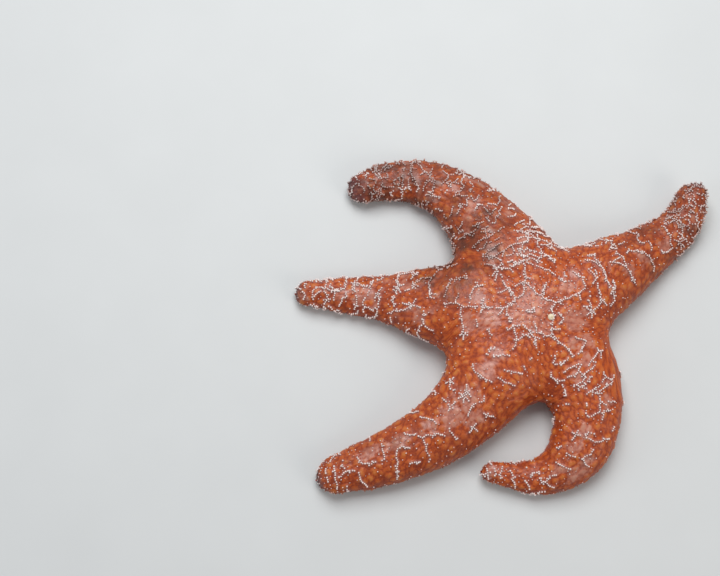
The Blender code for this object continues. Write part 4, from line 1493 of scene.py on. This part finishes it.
def film_of(skin, cells, random):
    """Where the wet skin's sheen lies, glossier and painted pale for the sky's reflection: in the drawn
    patches, beyond them in some cells of the net, inside the ring, and as a haze around it. None lies on the
    sieve plate's place, on steep walls or on the sole, and it fades where the skin turns away from facing up."""
    points = skin.points
    level = random.uniform(0.0, 1.0, cells.max() + 1)
    beyond = eased((skin.marks["along"] - by_arm(skin, "drawn")) / 0.005 + 0.5)
    in_cells = np.where(level < 0.5, 0.0, level)[cells]
    film = beyond * in_cells * patchy(points, 0.009, seed=5, middle=0.62, swing=0.8)
    film = drawn_film(skin, film)
    offset = points - RING_CENTRE
    haze = eased(1.3 - from_ring(points) / HAZE_REACH)
    haze = haze * patchy(points, 0.012, seed=21, middle=0.62, swing=0.75)
    film = np.maximum(film, HAZE_FILM * haze * np.clip(0.6 + offset[:, 1] / 0.03, 0.35, 1.0))
    turn = np.degrees(np.arctan2(offset[:, 1], offset[:, 0]))
    heading, reach = np.array(RING, float).T
    edge = np.interp(turn, heading, reach * MM, period=360)
    film = np.maximum(film, RING_FILM * eased(0.5 + (edge - np.hypot(*offset[:, :2].T)) / MM))
    plate = MADREPORITE_DISTANCE * heading_way(MADREPORITE_HEADING)
    film = film * eased((np.linalg.norm((points - plate)[:, :2], axis=1) - 2.0 * MM) / (1.4 * MM))
    film = film * eased((skin.normals[:, 2] - 0.45) / 0.35) * (1 - skin.marks["under"])
    return film * patchy(points, 0.0028, seed=14, middle=0.95, swing=0.30)


def mark_skin(skin, cells, chain, random):
    """Adds the marks that the finishes read, and the relief: how far the skin stands out at each point."""
    points, marks = skin.points, skin.marks
    marks["near"] = np.exp(-((nearest(points, chain.places)[1] / NEAR_REACH) ** 2))
    # The sheen: glossier skin, and a pale painted reflection of the sky where the wet skin faces up.
    marks["film"] = film_of(skin, cells, random)
    bent = points + 0.35 * MM * drift(points, 4 * MM, (16, 17, 18))
    marks["cobble"] = sum(share * pebbles(bent, size, seed) for share, size, seed in COBBLES)
    # Browner and darker towards the ends of the upper arms and in patches round the upper left arm's start:
    # partly their own tone, partly painted shade.
    brown = [by_arm(skin, "deep") * eased((marks["along"] - 0.020) / 0.095)]
    for heading, distance, reach, strength in BROWN_PATCHES:
        offset = points - distance * heading_way(heading)
        brown.append(strength * eased(1.3 - np.hypot(*offset[:, :2].T) / reach))
    marks["brown"] = np.clip(np.max(brown, axis=0) * (1 + 0.4 * waves(points, 0.012, seed=9)), 0, 1)
    from_end = by_arm(skin, "length") - marks["along"]
    marks["tip"] = eased(1.0 - from_end / (by_arm(skin, "dark") + 1 * MM))
    relief = COBBLE_RELIEF * (marks["cobble"] - 0.5) * (1 - 0.55 * marks["film"])
    relief = relief + SWELL_RELIEF * waves(points, 0.013, seed=11)
    marks["relief"] = relief * (1 - marks["under"]) + CHAIN_RELIEF * marks["near"]


def make_skin(made_of, random):
    """The skin as it was before its relief, with its marks, and the roots of the spines on its back."""
    makers = (disc_half, arm_half, disc_sole_half)
    made = weld("skin", [make(line, side) for line in LINES for side in SIDES for make in makers], made_of)
    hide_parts("disc", *(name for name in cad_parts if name.startswith("arm_")))
    skin = read(made.data)
    cells, chain, lonely = back_roots(skin, random)
    mark_skin(skin, cells, chain, random)
    points = skin.points + skin.marks["relief"][:, None] * skin.normals + DISC_CENTRE
    made.data.vertices.foreach_set("co", points.astype(np.float32).ravel())
    made.data.update()
    for mark in MARKS:
        if mark not in made.data.attributes:
            made.data.attributes.new(mark, "FLOAT", "POINT")
        made.data.attributes[mark].data.foreach_set("value", skin.marks[mark].astype(np.float32))
    return skin, chain, lonely


# ---------------------------------------------------------------- spines and feet on an arm


def row_corners(skin, number, side, column):
    """The skin's points on one column along an arm, in order from the disc to the tip."""
    here = np.abs(skin.marks["round"] - round_place(side, column)) < 1e-4
    row = np.flatnonzero((skin.marks["arm"] == number) & here)
    return row[np.argsort(skin.marks["along"][row])]


def row_at(skin, number, side, column, s):
    """Places on one column along an arm, at given lengths."""
    row = row_corners(skin, number, side, column)
    return np.stack([np.interp(s, skin.marks["along"][row], axis) for axis in skin.points[row].T], axis=1)


def rows(skin, number, columns, spacing, start=0.0, end=1.0):
    """Roots in rows on both sides of an arm, every second row a little behind."""
    places = []
    for side in SIDES:
        for i, column in enumerate(columns):
            row = skin.points[row_corners(skin, number, side, column)]
            even = strung(row, spacing, start + ROW_STAGGER * (i % 2), end)
            places.append(spread_out(even, 0.8 * spacing))  # a row doubles back where arm and disc meet
    return rooted(np.concatenate(places), skin)


def dress_back(number, name, skin, chain, lonely, made_of, random):
    """The spines on the back and on the walls of an arm and of its share of the disc."""
    mine = skin.marks["arm"] == number
    pegs = np.zeros(len(lonely.places), bool)
    if number == PEGGED_ARM:
        far = skin.marks["along"] > ARMS[number].length - PEGGED_LENGTH
        pegs = (mine & far & (skin.marks["across"] < PEGGED_SIDE))[lonely.corners]
        stand(f"pegs_{name}", PEG, some(lonely, pegs), skin, made_of, random)
    stand(f"spines_{name}", CHAIN_SPINE, some(chain, mine[chain.corners]), skin, made_of, random)
    single = some(lonely, mine[lonely.corners] & ~pegs)
    stand(f"single_spines_{name}", SINGLE_SPINE, single, skin, made_of, random)
    edge = rows(skin, number, EDGE_COLUMNS, EDGE_SPACING, end=0.99)
    kept = random.uniform(size=len(edge.places)) < EDGE_KEPT
    strayed = edge.places[kept] + random.normal(scale=EDGE_STRAY, size=(kept.sum(), 3))
    stand(f"edge_spines_{name}", EDGE_SPINE, rooted(strayed, skin), skin, made_of, random)


def dress_sole(number, line, skin, chalky, moist, random):
    """The spines on the sole and beside the furrow, and the tube feet, all along an arm."""
    name = line.arm.name
    sole = rows(skin, number, SOLE_SPINE_COLUMNS, SOLE_SPACING, start=0.02, end=0.98)
    stand(f"sole_spines_{name}", SOLE_SPINE, sole, skin, chalky, random)

    lip = rows(skin, number, (LIP_COLUMN,), LIP_SPACING, start=0.01, end=0.98)
    base, _, left, up = along(line, skin.marks["along"][lip.corners])
    side = np.sign(((lip.places - base) * left).sum(1))[:, None]
    ways = unit(-FURROW_SPINE_IN * side * left - FURROW_SPINE_DOWN * up)
    stand(f"furrow_spines_{name}", FURROW_SPINE, lip, skin, chalky, random, ways=ways)

    feet = []
    s = np.arange(MOUTH_RADIUS + 2 * MM, 0.96 * line.arm.length, TUBE_FOOT_SPACING)
    for side in SIDES:
        roof, middle = (row_at(skin, number, side, column, s) for column in ROOF_COLUMNS)
        feet += [roof + share * (middle - roof) for share in TUBE_FOOT_ROWS]
    feet = rooted(np.concatenate(feet), skin)
    s = skin.marks["along"][feet.corners]
    half = furrow_half(np.interp(s, line.s, line.half))
    depth = half * FURROW_DEPTH / FURROW_HALF_WIDTH + 0.4 * np.minimum(SOLE_DEPTH, half)
    down = -along(line, s)[3]
    stand(f"tube_feet_{name}", TUBE_FOOT, feet, skin, moist, random, ways=down, lengths=depth)


# ---------------------------------------------------------------- the small parts

GROOVES = 19  # in the sieve plate
GROOVE_DEPTH = 0.11 * MM
PLATE_FOOT = 0.5 * MM  # how far the sieve plate goes down into the skin
FOLDS = 20  # in the skin round the mouth
FOLD_DEPTH = 0.16 * MM
MOUTH_SAG = 1.5 * MM
MOUTH_SPINE_OFFSETS = np.linspace(-2.4, 2.4, 5) * MM  # of the spines at one corner of the mouth
MOUTH_SPINE_FAN = 60  # for each metre of offset, how far a spine turns to the corner's middle
MOUTH_SPINE_INSET = 0.7 * MM  # from the mouth's edge
MOUTH_SPINE_RISE = 1.3 * MM


def turned_piece(name, profile, centre, up, made_of, steps, waviness=None):
    """A closed ring of a profile, turned about a way up through its centre. waviness(turn, share) is how far
    along that way each point moves, by its turn and by its share of the profile's reach."""
    up = Vector(up).normalized()
    aside = np.array(up.orthogonal().normalized())
    up = np.array(up)
    turn = 2 * np.pi * np.arange(steps) / steps
    out = np.cos(turn)[:, None] * aside + np.sin(turn)[:, None] * np.cross(up, aside)
    reach, rise = np.array(profile).T
    if waviness:
        rise = rise + waviness(turn[:, None], reach / reach.max())
    points = centre + reach[:, None] * out[:, None] + rise[..., None] * up
    rings = len(profile)
    k, r = np.meshgrid(np.arange(steps), np.arange(rings - 1), indexing="ij")
    here, onward = k * rings + r, (k + 1) % steps * rings + r
    faces = np.stack([here, onward, onward + 1, here + 1], -1)
    made = make_piece(name, points.reshape(-1, 3), [faces.reshape(-1, 4)], made_of)
    close_up(made.data, PIECE_GAP)
    return made


def make_sieve_plate(skin, made_of):
    """The sieve plate: a low dome with grooves that wander out from its middle."""
    plan = MADREPORITE_DISTANCE * heading_way(MADREPORITE_HEADING)[None, :2]
    root = rooted(lowered(plan, skin, lowest=0.8), skin)
    share = np.linspace(0.0, 1.0, 18)
    dome = np.stack([MADREPORITE_RADIUS * share, MADREPORITE_HEIGHT * (1 - share**3.2)], axis=1)
    profile = np.vstack([dome, [(MADREPORITE_RADIUS * 0.96, -PLATE_FOOT), (0.0, -PLATE_FOOT)]])

    def grooves(turn, reach):
        """How far the grooves lift or sink the dome."""
        wander = 1.4 * np.sin(9 * reach) + 0.8 * np.sin(3 * turn)
        depth = GROOVE_DEPTH * np.cos(GROOVES * turn + wander)
        return depth * np.clip(3 * reach, 0, 1) * (reach < 0.95)

    centre, up = root.places[0] + DISC_CENTRE, skin.normals[root.corners[0]]
    plate = turned_piece("sieve_plate", profile, centre, up, made_of, 120, grooves)
    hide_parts("madreporite")


def make_mouth(made_of, dark):
    """The skin round the mouth: a soft folded ring that sags from the recess's roof to the opening, and a
    near-black disc over the opening, a painted shade for its dark inside.
    """
    roof = MOUTH_DEPTH + SOLE_DEPTH
    reach = MOUTH_RADIUS * MOUTH_ROOF_SHARE - 0.3 * MM
    share = np.linspace(1.0, 0.14, 22)
    sag = MOUTH_SAG * (np.sin(np.pi * share**1.4) ** 0.8 + (1 - share) / 3)
    profile = [(reach, roof + 0.2 * MM), *zip(reach * share, roof - sag), (0.10 * reach, roof + 0.2 * MM)]
    profile.append(profile[0])

    def folds(turn, at):
        """How far the folds lift or sink the ring."""
        return FOLD_DEPTH * np.cos(FOLDS * turn) * np.sin(np.pi * np.clip(at, 0, 1))

    ring = turned_piece("mouth_skin", profile, DISC_CENTRE, UP, made_of, 100, folds)
    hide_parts("mouth")
    # A thin near-black disc over the mouth's opening: painted shade for its dark inside.
    low, wide = roof - 0.1 * MM, 0.16 * reach
    throat = [(0.0, low), (wide, low), (wide, roof), (0.0, roof)]
    turned_piece("throat", throat, DISC_CENTRE, UP, dark, 24)


def stand_at(name, kind, places, ways, skin, made_of, random):
    """Stands spines of one kind at places of their own, along ways of their own."""
    places = np.array(places)
    roots = Roots(places, nearest(places, skin.points)[0])
    return stand(name, kind, roots, skin, made_of, random, ways=unit(np.array(ways)))


def make_mouth_spines(skin, made_of, random):
    """Spines at the five corners of the mouth, which point at its middle."""
    places, ways = [], []
    for line in LINES:
        way, _ = PITS[line.arm.name, 1]
        aside = np.cross(way, UP)
        for offset in MOUTH_SPINE_OFFSETS:
            inset = (MOUTH_RADIUS - MOUTH_SPINE_INSET) * way
            places.append(inset + offset * aside + MOUTH_SPINE_RISE * UP)
            ways.append(-way - MOUTH_SPINE_FAN * offset * aside - 0.12 * UP)
    stand_at("mouth_spines", MOUTH_SPINE, places, ways, skin, made_of, random)


def make_eyespots(skin, made_of, random):
    """The eyespots: a small bead low on each arm's end."""
    places, ways = [], []
    for line in LINES:
        tip, forward, _, up = (column[0] for column in along(line, np.array([line.arm.length])))
        places.append(tip + (EYESPOT_RISE * line.height[-2] + 0.4 * MM) * up - 0.2 * MM * forward)
        ways.append(forward + 0.3 * up)
    spots = stand_at("eyespots", EYESPOT, places, ways, skin, made_of, random)
    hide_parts(*(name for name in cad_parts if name.startswith("eyespot_")))


def build():
    """Makes every piece of the sea star."""
    random = np.random.default_rng(BUILD_SEED)
    colour = star_colour()
    skin, chain, lonely = make_skin(skin_material(colour, fine_skin()), random)
    chalky = spine_material(colour)
    plain = {name: plain_material(name, *look) for name, look in PLAIN_FINISHES.items()}
    for number, line in enumerate(LINES):
        dress_back(number, line.arm.name, skin, chain, lonely, chalky, random)
        dress_sole(number, line, skin, chalky, plain["tube feet"], random)
    make_sieve_plate(skin, plain["sieve plate"])
    make_mouth(plain["mouth skin"], plain["throat"])
    make_mouth_spines(skin, chalky, random)
    make_eyespots(skin, plain["eyespot"], random)


LINES = [line_of(arm) for arm in ARMS]
PITS = {(line.arm.name, side): armpit(line, side) for line in LINES for side in SIDES}
set_stage()
build()
